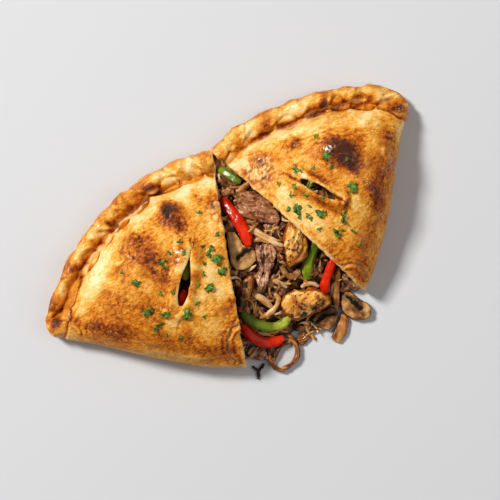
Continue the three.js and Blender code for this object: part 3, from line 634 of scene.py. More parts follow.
def raise_lips(at, relief):
    """Lips round the vent, pushed up where the steam came out, and the ragged cut edge."""
    relief += at.top * bell(at.lip - 5.6, 2.0) * (1.1 * at.cutward + 0.3 * (1 - at.cutward))
    relief -= at.top * bell(at.lip - 9.5, 3.0) * 0.7 * (1 - at.cutward)
    ragged = ramp(5 - at.local[:, 0], 0, 5) * ramp(at.places[:, 2], 2, 5)
    relief += ragged * (0.7 * unevenness(at.places, 4.5, 61, 2))


def calm_waves(at, places):
    """Halves the even waves that the plain solid has along its crimp."""
    half, along = at.half, at.along
    tip = ramp(along, along.max() - 30, along.max() - 5)
    wave = 1 + 0.35 * np.sin(along / 11 + 2 * PHASE[half])
    wave = wave * (1 - 2 * np.abs(np.cos(math.pi * at.winding)) ** 3) * (1 - tip)
    calm = ramp(CRIMP_WIDTH + 2 - at.edge, 0, 4) * ramp(places[:, 2], 0.5, 4)
    places[:, 2] -= 0.9 * wave * calm * at.upward
    angle = math.radians(TURN[half])
    outwards = np.array([-math.sin(angle), math.cos(angle)])
    places[:, :2] -= (0.8 * wave * calm * np.clip(1 - at.share, 0, 1))[:, None] * outwards


def lean_lips(at, places):
    """Leans the vent's lips in over the slit, or back from it."""
    upper, lower = LEAN[at.half]
    down = ramp(distance_to_line(places[:, :2], VENTS[at.half])[1] / at.slit, 0.15, 0.65)
    pinch = bell(at.lip - 3.2, 2.6) * ramp(places[:, 2], 18, 24) * (upper + (lower - upper) * down)
    places[:, :2] -= np.sign(at.beside)[:, None] * at.across / at.slit * pinch[:, None]


def settle(at, places):
    """Draws the corner that both halves share together, and keeps the crust to its height."""
    near = bell(at.local[:, 0], 4) * ramp(26 - at.local[:, 1], 0, 14) * ramp(places[:, 2], 1, 3)
    places[:, 0] -= SIDE[at.half] * 1.3 * near
    places[:, 2] = np.maximum(places[:, 2], 0.0)
    places[:, 2] -= 0.7 * np.maximum(places[:, 2] - CRUST_TOP, 0)


def baking_and_painted_shade(at, burnt, crease):
    """What the oven did, with painted shade in hollows, in the trench, between the pleats and on the roll's
    inner wall, and painted light on ridges; 0 is pale dough, 1 is nearly black.
    """
    places, top, rope, half = at.places, at.top, at.rope, at.half
    lobe, edge = at.lobe, at.edge
    bake = BAKED[half] + 0.08 * unevenness(places, 20, 71, 2) + 0.06 * unevenness(places, 7, 72, 2)
    bake += 0.04 * unevenness(places, 3, 73, 2)
    creamy = 0.75 * browning(at.wander[:, :2], CREAMY[half]) * (1 - burnt)
    bake += 0.62 * burnt * (1 + 0.25 * unevenness(places, 4, 70)) - creamy
    # The knobs of the rolled edge and its rim; painted shade between its pleats and in the trench where it
    # meets the roof, and a paler band on the roof beyond.
    knob = 0.38 * (bell(lobe - 0.66, 0.2) * bell(at.share - 0.55, 0.3))
    knob = knob * (1 + 0.8 * unevenness(places, 9, 74, 2))
    bake += rope * (knob - 0.09 + 0.16 * unevenness(places, 12, 77, 2))
    bake += rope * (0.22 * bell(edge, 2.5) + 0.10 * bell(np.minimum(lobe, 1 - lobe), 0.05))
    bake += 0.20 * at.trench - 0.20 * top * (1 - rope) * bell(edge - at.inner_edge - 7, 6)
    # The folded edge.
    if half == "left":
        bake += 0.09 * bell(at.fold - 22, 13) * top * ramp(at.local[:, 0], 35, 60)
    bake += 0.14 * bell(at.fold - 13, 6) * top - 0.05 * ramp(6 - at.fold, 0, 5)
    # Beside the lines, with painted shade on the roll's inner wall by the pressed line; round the vent;
    # painted shade in hollows and painted light on ridges.
    bake += 0.24 * bell(at.groove - 2.8, 1.8) * top * ramp(at.inner_edge + 2 - edge, 0, 3)
    lip_brown = 0.34 * at.cutward * ramp(unevenness(places, 8, 75, 2), -0.1, 0.3) + 0.28 * (1 - at.cutward)
    bake += lip_brown * bell(at.lip - 5.5, 2.2) * top - 0.22 * at.cutward * bell(at.lip - 3.5, 1.2) * top
    bake += (0.20 * np.maximum(crease, 0) - 0.10 * np.maximum(-crease, 0)) * (1 - 0.5 * rope)
    bake += SPLIT_BROWN[half] * bell(at.split, 0.8) * top
    bake += 0.16 * bell(at.crack - 2.5, 2.5) * at.upward
    for x, y, reach, height in BLISTERS[half]:
        bake += 0.14 * min(1, height) * bell(away_from(at.swell, x, y), reach, 4) * top
    bake += at.flaky * (0.13 * (1 - at.peel) + 0.16 * unevenness(places, 3, 53, 2))
    return bake


def charring(at, burnt):
    """The burnt spots, and the one black blister of the left half."""
    char = ramp(burnt + 0.3 * unevenness(at.places, 2.6, 76), 0.88, 1.2) * 0.3 * at.top
    if at.half == "left":
        x, y, reach = BLACK_BLISTER
        spot = 1.35 - away_from(at.swell, x, y) / reach + 0.4 * unevenness(at.places, 1.8, 80, 2)
        char += 0.75 * ramp(spot, 0.3, 0.8)
    return char


def rawness(at):
    """Unbaked crumb: in the lines, on the cut faces and inside, and a little near the table."""
    places, local, height = at.places, at.local, at.places[:, 2]
    inside = ramp(-at.normals[:, 2], 0.2, 0.6) * ramp(height, 4, 6) * ramp(at.lip, 5, 9)
    cut_face = ramp(3.0 - local[:, 0], 0, 2.5) * ramp(0.75 - np.abs(at.normals[:, 2]), 0, 0.35)
    thin = 1.5 if at.half == "right" else 2.4 * ramp(local[:, 1], 132, 140) - 1.0
    rim = ramp(thin + unevenness(places, 3, 78, 2) - local[:, 0], 0, 0.8) * ramp(local[:, 1], 70, 95)
    return np.maximum.reduce([
        bell(at.groove, 0.65) * at.top,
        bell(at.crack, 0.8) * 0.35 * at.upward,
        inside,
        cut_face * 0.85,
        rim * 0.7,
        0.22 * ramp(7 - height, 0, 5) * (1 - inside),
        at.flaky * (0.10 + 0.034 * FLAKY[at.half][2] * at.peel),
    ])


def make_crust(half):
    piece = soft_copy("crust_" + half, "baked_crust_" + half, voxel=0.93, ease=2)
    at = lay_out(piece, half)
    relief = fold_rolled_edge(at)
    for shape in (raise_roof, score_lines, raise_lips):
        shape(at, relief)
    relief *= ramp(at.places[:, 2], 0.4, 1.6)
    at.places = at.places + at.normals * relief[:, None]
    for shape in (calm_waves, lean_lips, settle):
        shape(at, at.places)
    move_spots(piece, at.places)

    # How hollow each point lies: from it the crust's colour gets painted shade in hollows and painted light
    # on ridges.
    crease = np.clip(hollows(piece) / 0.12, -1, 1) * at.top
    burnt = browning(at.wander[:, :2], BROWNED[half])
    oily = ramp(burnt + 0.3 * unevenness(at.places, 9, 79, 2), 0.15, 0.6)
    paint(piece, "bake", baking_and_painted_shade(at, burnt, crease))
    paint(piece, "char", charring(at, burnt))
    paint(piece, "raw", rawness(at))
    paint(piece, "oil", oily * at.top + 0.12 + 0.25 * at.rope)
    return piece


crust_finish = make_crust_finish()
for half in ("left", "right"):
    finish_piece(make_crust(half), crust_finish, "crust", "crust_" + half)

# ---------------------------------------------------------------- finishes of the filling


def make_pepper_finish(name, skin, deep, flesh):
    material, tree, shader = new_finish(
        name, 0.36, coat=0.16, coat_roughness=0.1, scatter=0.08, scatter_radius=(1, 0.3, 0.1)
    )
    mottle = use_group(tree, MOTTLE, Patch_scale=210.0, Grain_scale=1100.0)
    cloudy = maths(tree, "MULTIPLY", mottle["Patches"], 0.8)
    shade = maths(tree, "ADD", cloudy, painted(tree, "deep"), clamp=True)
    tone = blend_colours(tree, maths(tree, "SUBTRACT", shade, 0.3, clamp=True), skin, deep)
    pale = maths(tree, "ADD", mottle["Grain"], 0.4, clamp=True)
    pale = maths(tree, "MULTIPLY", painted(tree, "flesh"), pale)
    tone = blend_colours(tree, pale, tone, flesh)
    tree.links.new(tone, shader.inputs["Base Color"])
    raise_surface(tree, shader, mottle["Patches"], 0.8, 0.25)
    return material


def make_meat_finish(name, stops, char_colour, roughness):
    """Grained meat: `grain` picks the tone, `sear` browns it and `char` blackens it."""
    material, tree, shader = new_finish(name, roughness, coat=0.2, coat_roughness=0.1)
    mottle = use_group(tree, MOTTLE, Patch_scale=260.0, Grain_scale=1500.0)
    level = swing(tree, painted(tree, "grain"), mottle["Grain"], 0.45)
    level = swing(tree, level, mottle["Patches"], 0.35, clamp=True)
    tone = colours(tree, level, stops)
    tone = blend_colours(tree, painted(tree, "sear"), tone, (0.36, 0.115, 0.022))
    tone = blend_colours(tree, painted(tree, "char"), tone, char_colour)
    tree.links.new(tone, shader.inputs["Base Color"])
    raise_surface(tree, shader, mottle["Grain"], 0.35, 0.5)
    return material


def make_mushroom_finish():
    material, tree, shader = new_finish("fried_mushroom", 0.42, coat=0.2, coat_roughness=0.09)
    mottle = use_group(tree, MOTTLE, Patch_scale=230.0, Grain_scale=1300.0)
    level = swing(tree, painted(tree, "rim"), mottle["Patches"], 0.7, clamp=True)
    tone = colours(tree, level, [
        (0.0, (0.70, 0.45, 0.20)), (0.3, (0.47, 0.24, 0.075)), (0.62, (0.20, 0.07, 0.016)),
        (1.0, (0.06, 0.02, 0.008)),
    ])
    tone = blend_colours(tree, maths(tree, "MULTIPLY", mottle["Grain"], 0.35), tone, (0.30, 0.13, 0.04))
    gill = painted(tree, "gill")
    tone = blend_colours(tree, gill, tone, (0.018, 0.010, 0.007))
    tree.links.new(tone, shader.inputs["Base Color"])
    dry = maths(tree, "MULTIPLY", maths(tree, "SUBTRACT", 1.0, gill, clamp=True), 0.22)
    tree.links.new(dry, shader.inputs["Coat Weight"])
    tree.links.new(maths(tree, "ADD", maths(tree, "MULTIPLY", gill, 0.4), 0.42), shader.inputs["Roughness"])
    raise_surface(tree, shader, mottle["Grain"], 0.3, 0.45)
    return material


def make_onion_finish():
    material, tree, shader = new_finish(
        "soft_onion", 0.34, coat=0.3, coat_roughness=0.08, scatter=0.2, scatter_radius=(1, 0.6, 0.3)
    )
    mottle = use_group(tree, MOTTLE, Patch_scale=150.0, Grain_scale=1200.0)
    level = swing(tree, painted(tree, "amber"), mottle["Patches"], 0.7, clamp=True)
    tone = colours(tree, level, [
        (0.0, (0.82, 0.56, 0.32)), (0.35, (0.62, 0.33, 0.115)), (0.7, (0.40, 0.145, 0.024)),
        (1.0, (0.13, 0.04, 0.01)),
    ])
    tree.links.new(tone, shader.inputs["Base Color"])
    raise_surface(tree, shader, mottle["Grain"], 0.2, 0.3)
    return material


def make_core_finish():
    material, tree, shader = new_finish("moist_filling", 0.55)
    mottle = use_group(tree, MOTTLE, Patch_scale=190.0, Grain_scale=900.0)
    # The painted lift carries painted shade in the heap's hollows and painted light on its lumps and near the
    # apex.
    level = swing(tree, painted(tree, "lift"), mottle["Patches"], 0.8, clamp=True)
    tone = colours(tree, level, [
        (0.0, (0.018, 0.006, 0.002)), (0.45, (0.060, 0.023, 0.007)), (0.75, (0.15, 0.060, 0.020)),
        (1.0, (0.33, 0.16, 0.065)),
    ])
    tree.links.new(tone, shader.inputs["Base Color"])
    raise_surface(tree, shader, mottle["Grain"], 0.5, 0.6)
    return material


def make_plain_finish(name, light, dark, roughness=0.45, coat=0.15, patch=400.0, bump=0.2):
    material, tree, shader = new_finish(name, roughness, coat=coat, coat_roughness=0.2)
    mottle = use_group(tree, MOTTLE, Patch_scale=patch, Grain_scale=1600.0)
    level = swing(tree, mottle["Patches"], mottle["Grain"], 0.6)
    tree.links.new(colours(tree, level, [(0.35, dark), (0.62, light)]), shader.inputs["Base Color"])
    raise_surface(tree, shader, mottle["Grain"], bump, 0.5)
    return material


PEPPERS = {
    "red_pepper": make_pepper_finish(
        "red_pepper_skin", skin=(0.70, 0.032, 0.003), deep=(0.30, 0.004, 0.001), flesh=(0.72, 0.10, 0.02)
    ),
    "green_pepper": make_pepper_finish(
        "green_pepper_skin", skin=(0.215, 0.285, 0.012), deep=(0.05, 0.085, 0.002), flesh=(0.55, 0.53, 0.09)
    ),
}
BEEF = make_meat_finish("roast_beef", [
    (0.0, (0.022, 0.007, 0.003)), (0.3, (0.13, 0.046, 0.018)), (0.62, (0.38, 0.18, 0.095)),
    (1.0, (0.74, 0.46, 0.30)),
], char_colour=(0.02, 0.014, 0.012), roughness=0.45)
CHICKEN = make_meat_finish("grilled_chicken", [
    (0.0, (0.32, 0.075, 0.006)), (0.3, (0.62, 0.23, 0.028)), (0.65, (0.86, 0.43, 0.10)),
    (1.0, (0.95, 0.63, 0.27)),
], char_colour=(0.02, 0.008, 0.004), roughness=0.4)
MUSHROOM = make_mushroom_finish()
ONION = make_onion_finish()
CORE = make_core_finish()
BURNT = make_plain_finish("burnt_herb", (0.075, 0.038, 0.018), (0.008, 0.006, 0.005))
PARSLEY = make_plain_finish(
    "chopped_parsley", light=(0.20, 0.33, 0.055), dark=(0.020, 0.065, 0.005),
    roughness=0.5, coat=0.1, patch=420.0, bump=0.15,
)

# ---------------------------------------------------------------- named pieces of the filling


def patches(xy, marks):
    """How strongly each point lies in a set of round marks (x, y, size)."""
    total = np.zeros(len(xy))
    for x, y, size in marks:
        total = np.maximum(total, np.exp(-(((xy[:, 0] - x) ** 2 + (xy[:, 1] - y) ** 2) / size**2)))
    return total


def fibres(places, angle, seed, width, length):
    """Long random ridges that run at `angle` degrees across the piece."""
    a = math.radians(angle)
    x, y = shaken(places, 1.2, 9, (seed + 5, seed + 6)).T
    along = x * math.cos(a) + y * math.sin(a)
    across = -x * math.sin(a) + y * math.cos(a)
    return unevenness(np.column_stack([along / length * width, across, places[:, 2] * 0.6]), width, seed, 2)


def dots(xy, area, count, seed, size):
    """Small round specks strewn over an area (x0, y0, x1, y1)."""
    luck = random.Random(seed)
    total = np.zeros(len(xy))
    for _ in range(count):
        x, y, r = luck.uniform(area[0], area[2]), luck.uniform(area[1], area[3]), luck.uniform(0.4, 1) * size
        total = np.maximum(total, ramp(1.3 - away_from(xy, x, y) / r, 0, 0.5))
    return total


def reshape(piece, relief):
    """Raises each point of a piece by its relief in mm, and keeps it above the table."""
    places = spots(piece) + facing(piece) * relief[:, None]
    places[:, 2] = np.maximum(places[:, 2], 0.05)
    move_spots(piece, places)


def make_pepper(node, path, end_flesh=0.0, swell=0.35, deep=0.15):
    """A bent strip of pepper; its colour is in its name, and `end_flesh` bares the flesh at its far end."""
    kind = node.rsplit("_", 1)[0]
    piece = soft_copy(node, node + "_strip", voxel=0.42, ease=8)
    places, normals = spots(piece), facing(piece)
    _, along = distance_to_line(places[:, :2], smooth_line(path))
    side = 1 - np.abs(normals[:, 2])
    reshape(piece, swell * side + 0.3 * unevenness(places, 6, 1, 2) + 0.12 * unevenness(places, 2.4, 2, 2))
    whole = along.max()
    low = 1 - ramp(normals[:, 2], -0.1, 0.45)
    near_end = 0.6 * ramp(along / whole, 0.5, 0.1) * (end_flesh > 0)
    far_end = end_flesh * ramp(along / whole, 0.45, 0.9) * ramp(unevenness(places, 4, 4, 2), -0.5, 0.3)
    paint(piece, "deep", deep + 0.5 * unevenness(places, 9, 3, 2) + near_end)
    paint(piece, "flesh", 0.6 * low + far_end)
    finish_piece(piece, PEPPERS[kind], kind, node)


def make_onion(node, path, amber, swell, stripe=1.0):
    """A soft strip of onion, ribbed along; `amber` is how far it is fried."""
    piece = soft_copy(node, node + "_strip", voxel=0.4, ease=6)
    places, normals = spots(piece), facing(piece)
    off, _ = distance_to_line(places[:, :2], smooth_line(path))
    side = 1 - np.abs(normals[:, 2])
    stripes = np.sin(off * 3.4 + 1.2 * unevenness(places, 6, 1, 2)) * stripe
    reshape(piece, swell * side + 0.2 * stripes + 0.35 * unevenness(places, 5, 2, 2))
    shade = amber + 0.17 * stripes + 0.32 * unevenness(places, 6, 3, 2) + 0.3 * ramp(off, 0.9, 2.6)
    paint(piece, "amber", shade)
    finish_piece(piece, ONION, "onion", node)


def make_beef(node, angle, seed, length=9.0, tone=0.58):
    """A torn slice of beef with its grain at `angle` degrees."""
    piece = soft_copy(node, node + "_slice", voxel=0.42, ease=3)
    places, normals = spots(piece), facing(piece)
    ridges = 0.62 * fibres(places, angle, seed, 1.0, length) + 0.42 * unevenness(places, 1.7, seed + 8, 2)
    tear = bell(np.abs(fibres(places, angle, seed + 3, 2.8, 12)), 0.09)
    side = 1 - ramp(normals[:, 2], 0.1, 0.7)
    lumps = 0.7 * unevenness(places, 7, seed + 1, 2)
    reshape(piece, 0.75 * ridges - 0.9 * tear + lumps + side * 0.7 * unevenness(places, 3.5, seed + 7, 2))
    # Lighter on the raised fibres, a painted highlight, and darker in the sunk tears, a painted shade.
    grain = tone + 0.46 * ridges - 0.45 * tear + 0.16 * unevenness(places, 7, seed + 2) - 0.2 * side
    paint(piece, "grain", grain)
    paint(piece, "sear", 0.25 * side + 0.45 * ramp(unevenness(places, 9, seed + 4, 2), 0.25, 0.7))
    paint(piece, "char", 0.5 * ramp(unevenness(places, 5, seed + 6, 2), 0.5, 0.8))
    finish_piece(piece, BEEF, "beef", node)


def make_chicken(node, angle, seed, dark=0.0, slot="chicken", burns=(), ridged=0.35):
    """A grilled piece of chicken, ridged at `angle` degrees, with burnt marks (x, y, size) in mm."""
    piece = soft_copy(node, node + "_piece", voxel=0.45, ease=20)
    places, normals = spots(piece), facing(piece)
    ridges = fibres(places, angle, seed, 1.9, 13)
    area = (*places[:, :2].min(0), *places[:, :2].max(0))
    lit = ramp(normals[:, 2], 0.2, 0.9)
    specks = dots(places[:, :2], area, 40, seed, 0.7) * lit
    lumps = ridged * ridges + 0.8 * unevenness(places, 8, seed + 2, 2)
    reshape(piece, lumps + 0.25 * unevenness(places, 2.6, seed + 1, 2) - 0.25 * specks)
    side = 1 - ramp(normals[:, 2], 0.15, 0.75)
    torn = unevenness(places * [1, 1, 1.8], 4.5, seed + 11, 3)
    reshape(piece, side * (0.15 + 0.9 * torn))
    mark = patches(shaken(places, 1.2, 3, (5, 6)), burns) * lit
    ring = mark * ramp(mark, 0.95, 0.6) * ramp(unevenness(places, 2.4, seed + 10, 2), -0.4, 0.2)
    sear = side * (0.35 + 0.5 * torn) + 0.85 * ramp(unevenness(places, 5.5, seed + 3, 3), 0.05, 0.5)
    # Lighter on the raised ridges: a painted highlight.
    paint(piece, "grain", 0.66 * lit + 0.34 * ridges + 0.28 * unevenness(places, 7, seed + 7, 2))
    paint(piece, "sear", np.minimum(sear + dark + 0.55 * mark, 0.85))
    burnt = dark * 1.5 * ramp(unevenness(places, 6, seed + 9, 2), -0.15, 0.35)
    paint(piece, "char", np.maximum.reduce([specks, burnt, 1.8 * ring, 1.6 * max(dark, 0) * mark]))
    finish_piece(piece, CHICKEN, slot, node)


def make_mushroom(node, seed, gill=(), reach=1.6, dark=0.0, streak=0.0, painted_shade_line=()):
    """A slice of mushroom with its gills sunk along a line; `reach` is half their width in mm."""
    piece = soft_copy(node, node + "_slice", voxel=0.42, ease=5)
    places, normals = spots(piece), facing(piece)
    rough = shaken(places, 0.8, 3, (5, 6), 3)
    off = distance_to_line(rough, smooth_line(gill))[0] if gill else np.full(len(places), 99.0)
    off = off * (1 + 0.6 * unevenness(places, 3.5, seed + 5, 3))
    trench = bell(off, reach, 3) * ramp(normals[:, 2], 0, 0.5)
    frills = np.sin(3.4 * (places[:, 0] + places[:, 1]) + 2 * unevenness(places, 4, seed + 4, 2))
    lumps = 0.45 * unevenness(places, 6, seed, 2) + 0.14 * unevenness(places, 2, seed + 1, 2)
    reshape(piece, lumps - 1.1 * trench * (1 + 0.2 * frills) + streak * 0.3 * frills)
    side = 1 - ramp(normals[:, 2], 0.35, 0.92)
    shade = 0.16 + dark + 0.7 * side + 0.36 * unevenness(places, 5, seed + 2, 3)
    shade += 0.35 * bell(off - reach * 1.6, 1.2)
    # Painted shade along the stem, where the mushroom meets the pepper beside it.
    if painted_shade_line:
        shade += 0.45 * bell(distance_to_line(rough, smooth_line(painted_shade_line))[0], 1.4)
    paint(piece, "rim", shade + streak * 0.3 * frills)
    paint(piece, "gill", trench * (1.2 + 0.2 * frills))
    finish_piece(piece, MUSHROOM, "mushroom", node)


make_pepper("red_pepper_1", [(1, 44.5), (2, 36), (4, 27), (4.5, 18), (4, 11.5), (2.5, 6.5)], swell=0.7)
make_pepper("red_pepper_2", [(52, -29), (46, -34), (40.5, -38.5), (36, -43.5), (34, -48)], swell=0.6)
make_pepper(
    "red_pepper_3", swell=0.6,
    path=[(-27.5, -40.5), (-26.5, -47.5), (-23.5, -54), (-19.5, -59.5), (-13.5, -62), (-6.5, -62.5)],
)
# Painted light: the negative `deep` lightens this strip, which lies in the shade of the left vent.
make_pepper("red_pepper_4", [(-50, 0), (-55, -5), (-59, -10)], swell=0.2, deep=-0.4)
make_pepper("green_pepper_1", [(9.5, 63.5), (12, 59), (15, 52.5), (18.5, 48)], swell=0.7, deep=0.5)
# Its bared flesh at the far end is partly real flesh and partly painted light on its shaded lower half.
make_pepper(
    "green_pepper_2", end_flesh=0.6, swell=0.6,
    path=[(46, -13.5), (39.5, -18.5), (34, -23.5), (30, -28.5), (28, -33.5)],
)
make_pepper(
    "green_pepper_3", end_flesh=0.7, swell=0.7,
    path=[(-23.5, -33), (-21, -40), (-17, -46), (-12, -50.5), (-6, -53.5), (0.5, -53), (4.5, -52)],
)
# Painted light: the negative `deep` lightens this strip, which lies in the shade of the left vent; its bared
# flesh is partly real flesh and partly painted light.
make_pepper("green_pepper_4", [(-37, 17), (-42, 12), (-47, 6)], end_flesh=0.3, swell=0.2, deep=-0.5)

make_onion("onion_1", [(12.5, 42.5), (19, 43.5), (26, 44.5)], amber=0.55, swell=0.5)
make_onion("onion_2", [(8, 18.5), (11.5, 12), (16, 5.5), (20, 0), (24, -6)], amber=0.05, swell=0.6)
make_onion("onion_3", [(7, 7.5), (12.5, 6), (16, 1.5)], amber=0.25, swell=0.5)
make_onion("onion_4", [(50.5, -37), (46, -44), (41.5, -51.5), (36, -62)], amber=0.6, swell=0.5)
make_onion("onion_5", [(-11, -24.5), (-6.5, -31), (-3, -39.5)], amber=0.35, swell=0.7)
make_onion("onion_6", [(-14, -42), (-7, -42.5), (-0.5, -40.5), (4, -36.5), (3, -32)], amber=0.3, swell=0.6)
make_onion("onion_7", [(21.5, -36.5), (27.5, -36.5), (32.5, -42)], amber=0.25, swell=0.5)
make_onion("onion_8", [(6, -22), (9, -26.5), (12.5, -32)], amber=0.12, swell=0.5)
make_onion(
    "onion_ring", amber=0.84, swell=0.2,
    path=[(-20.5, -71), (-17, -79), (-10, -81.5), (-3.5, -77), (-2, -70), (-6, -63), (-12, -61)],
)
make_onion("onion_petal", [(38, -69), (33, -77), (27, -83)], amber=0.5, swell=0.4, stripe=0.2)
make_onion("onion_scrap", [(-3, -60), (2, -62), (6, -64)], amber=0.7, swell=0.4)

make_beef("beef_1", angle=-42, seed=10, length=8.0)
make_beef("beef_2", angle=62, seed=20, length=8.0, tone=0.76)
make_beef("beef_3", angle=-60, seed=30)
make_beef("beef_4", angle=20, seed=40)

make_chicken("chicken_1", angle=35, seed=50, dark=-0.14, burns=[(30.5, -9.5, 3.8)], ridged=0.75)
make_chicken(
    "chicken_2", angle=15, seed=60,
    burns=[(5, -50, 3), (12, -56, 4), (21, -56, 4.5), (16.5, -49, 2.5), (28, -52, 2.5)],
)
make_chicken(
    "chicken_3", angle=48, seed=70, dark=0.6, slot="charred_chicken",
    burns=[(-13, -16, 2.5), (-18, -20.5, 3.5), (-20.5, -26, 3.5)],
)

make_mushroom(
    "mushroom_1", seed=80, reach=1.5, dark=-0.08,
    gill=[(-7.6, 2.0), (-5, 2.2), (-2, 3.6), (1.2, 3.6), (3.6, 3.4)],
    painted_shade_line=[(1.5, 14), (-1.5, 10), (-3, 6)],
)
make_mushroom("mushroom_2", seed=83, dark=0.3, streak=0.5)
make_mushroom(
    "mushroom_3", seed=86, reach=2.2, dark=0.12,
    gill=[(46.5, -58.0), (48.6, -62.8), (51.4, -69.8)],
)
make_mushroom(
    "mushroom_4", seed=89, reach=1.7, dark=0.22, streak=0.6,
    gill=[(20, -64), (27, -62.5), (33, -65)],
)

scrap = soft_copy("burnt_scrap", "burnt_herb_twig", voxel=0.35, ease=4)
reshape(scrap, 0.45 * unevenness(spots(scrap), 2.0, 1, 2) - 0.1)
finish_piece(scrap, BURNT, "burnt_scrap", "burnt_scrap")

# ---------------------------------------------------------------- the heap under and between them


def make_core():
    """The heap of chopped filling, lumpy all over, with painted shade in its hollows, painted light on its
    lumps and painted light near the apex.
    """
    piece = soft_copy("filling", "filling_core", voxel=0.92, ease=3)
    places = spots(piece)
    lump = unevenness(places, 7, 91, 2)
    small = unevenness(places, 2.8, 92, 2)
    ridge = 1 - np.abs(unevenness(places, 5, 93, 2)) * 1.6
    reshape(piece, 1.5 * lump + 0.6 * small + 0.5 * ridge)
    apex = ramp(24 - away_from(places, *APEX), 0, 8)
    # Painted shade and light: the tone is darker in the heap's hollows, lighter on its lumps, and lighter
    # near the apex, where the halves' shade falls.
    paint(piece, "lift", 0.35 + 0.45 * lump + 0.3 * small + 0.6 * apex)
    finish_piece(piece, CORE, "filling", "filling")
    return piece


core = make_core()

# ---------------------------------------------------------------- loose bits, modelled once and copied


def join_copies(name, pieces, finish, slot):
    """Makes one piece of all the copies of a kind."""
    bpy.ops.object.select_all(action="DESELECT")
    for piece in pieces:
        piece.select_set(True)
    bpy.context.view_layer.objects.active = pieces[0]
    bpy.ops.object.join()
    whole = pieces[0]
    whole.name = whole.data.name = name
    only(whole)
    bpy.ops.object.transform_apply(location=True, rotation=True, scale=True)
    places = spots(whole)
    places[:, 2] = np.clip(places[:, 2], 0.1, PART_TOP)
    move_spots(whole, places)
    finish_piece(whole, finish, slot)


def a_copy(model, where, normal, spin, size, tilt=0.0):
    """A copy of a bit, with its own mesh, laid on a surface."""
    piece = bpy.data.objects.new(model.name, model.data.copy())
    bpy.context.scene.collection.objects.link(piece)
    lean = Vector(normal).to_track_quat("Z", "Y").to_matrix().to_4x4()
    turn = Matrix.Rotation(spin, 4, "Z") @ Matrix.Rotation(tilt, 4, "X")
    piece.matrix_world = Matrix.Translation(where) @ lean @ turn @ Matrix.Diagonal((*size, 1))
    return piece


def put_away(models):
    """Deletes the models once their copies are laid."""
    for model in models:
        mesh = model.data
        bpy.data.objects.remove(model)
        bpy.data.meshes.remove(mesh)


def start_shaping():
    """Opens the active piece in edit mode with all of it selected."""
    bpy.ops.object.mode_set(mode="EDIT")
    bpy.ops.mesh.select_all(action="SELECT")


def make_leaf(seed, slim):
    """A torn bit of leaf, lobed and curled, 1 mm in radius."""
    luck = random.Random(seed)
    bpy.ops.object.select_all(action="DESELECT")
    bpy.ops.mesh.primitive_circle_add(vertices=16, radius=1 * MM, fill_type="TRIFAN")
    leaf = bpy.context.active_object
    start_shaping()
    bpy.ops.mesh.subdivide(number_cuts=1)
    bpy.ops.object.mode_set(mode="OBJECT")
    p = spots(leaf)
    r = np.hypot(p[:, 0], p[:, 1])
    angle = np.arctan2(p[:, 1], p[:, 0])
    a, c = luck.uniform(0, ANY_TURN), luck.uniform(0, ANY_TURN)
    corners = luck.choice((5, 6, 7, 8))
    reach = [luck.uniform(0.52, 1.05) for _ in range(corners)]
    turns = [2 * math.pi * k / corners for k in range(corners + 1)]
    lobes = np.interp((angle + a) % (2 * math.pi), turns, [*reach, reach[0]])
    lobes += 0.07 * np.cos(8 * angle + c)
    p[:, 0] *= lobes
    p[:, 1] *= lobes * slim
    p[:, 2] = 0.30 * r**2 * np.sin(2 * angle + c) + 0.14 * np.cos(5 * angle + a) * r**3
    p[:, 2] -= 0.25 * np.abs(p[:, 1])
    move_spots(leaf, p)
    thick = leaf.modifiers.new("thick", "SOLIDIFY")
    thick.thickness = 0.16 * MM
    apply_modifiers(leaf)
    return leaf


def make_crumb(seed, stretch):
    """A lumpy crumb, 1 mm in radius."""
    bpy.ops.object.select_all(action="DESELECT")
    bpy.ops.mesh.primitive_ico_sphere_add(subdivisions=3, radius=1 * MM)
    crumb = bpy.context.active_object
    start_shaping()
    bpy.ops.transform.resize(value=stretch)
    bpy.ops.object.mode_set(mode="OBJECT")
    p = spots(crumb)
    p *= (1 + 0.28 * unevenness(p, 0.9, seed, 2) + 0.12 * unevenness(p, 0.4, seed + 1, 1))[:, None]
    move_spots(crumb, p)
    return crumb


def make_shred(seed, length, bend, thick):
    """A bent shred, tapering at its ends: 1 mm wide, `length` mm long."""
    bpy.ops.object.select_all(action="DESELECT")
    bpy.ops.mesh.primitive_cylinder_add(
        vertices=10, radius=0.5 * MM, depth=length * MM, end_fill_type="TRIFAN"
    )
    shred = bpy.context.active_object
    start_shaping()
    bpy.ops.transform.rotate(value=math.radians(90), orient_axis="Y", center_override=(0, 0, 0))
    bpy.ops.object.mode_set(mode="OBJECT")
    rings = 12
    for k in range(1, rings):
        only(shred)
        start_shaping()
        bpy.ops.mesh.bisect(plane_co=((k / rings - 0.5) * length * MM, 0, 0), plane_no=(1, 0, 0))
        bpy.ops.object.mode_set(mode="OBJECT")
    p = spots(shred)
    t = p[:, 0] / (length / 2)
    taper = np.sqrt(np.clip(1.04 - t**2, 0.02, 1)) ** 0.6
    p[:, 1] *= taper * (1 + 0.2 * np.sin(5 * t + seed))
    p[:, 2] *= taper * thick
    p[:, 1] += bend * t**2 * length / 2 + 0.25 * np.sin(3.1 * t + seed)
    p[:, 2] += 0.25 * np.sin(2.6 * t + 2 * seed)
    move_spots(shred, p)
    return shred


def hit(tree, x, y):
    """The highest place of a skin at x, y in mm, and the way it faces."""
    above = 80 * MM
    where, normal, *_ = tree.ray_cast(Vector((x * MM, y * MM, above)), Vector((0, 0, -1)))
    return where, normal


CRUST = {half: bpy.data.objects["baked_crust_" + half] for half in ("left", "right")}
crust_skin = {half: skin_tree(piece) for half, piece in CRUST.items()}
core_skin = skin_tree(core)
laid = [skin_tree(o) for o in bpy.context.scene.objects if o.name.endswith(("_strip", "_slice", "_piece"))]

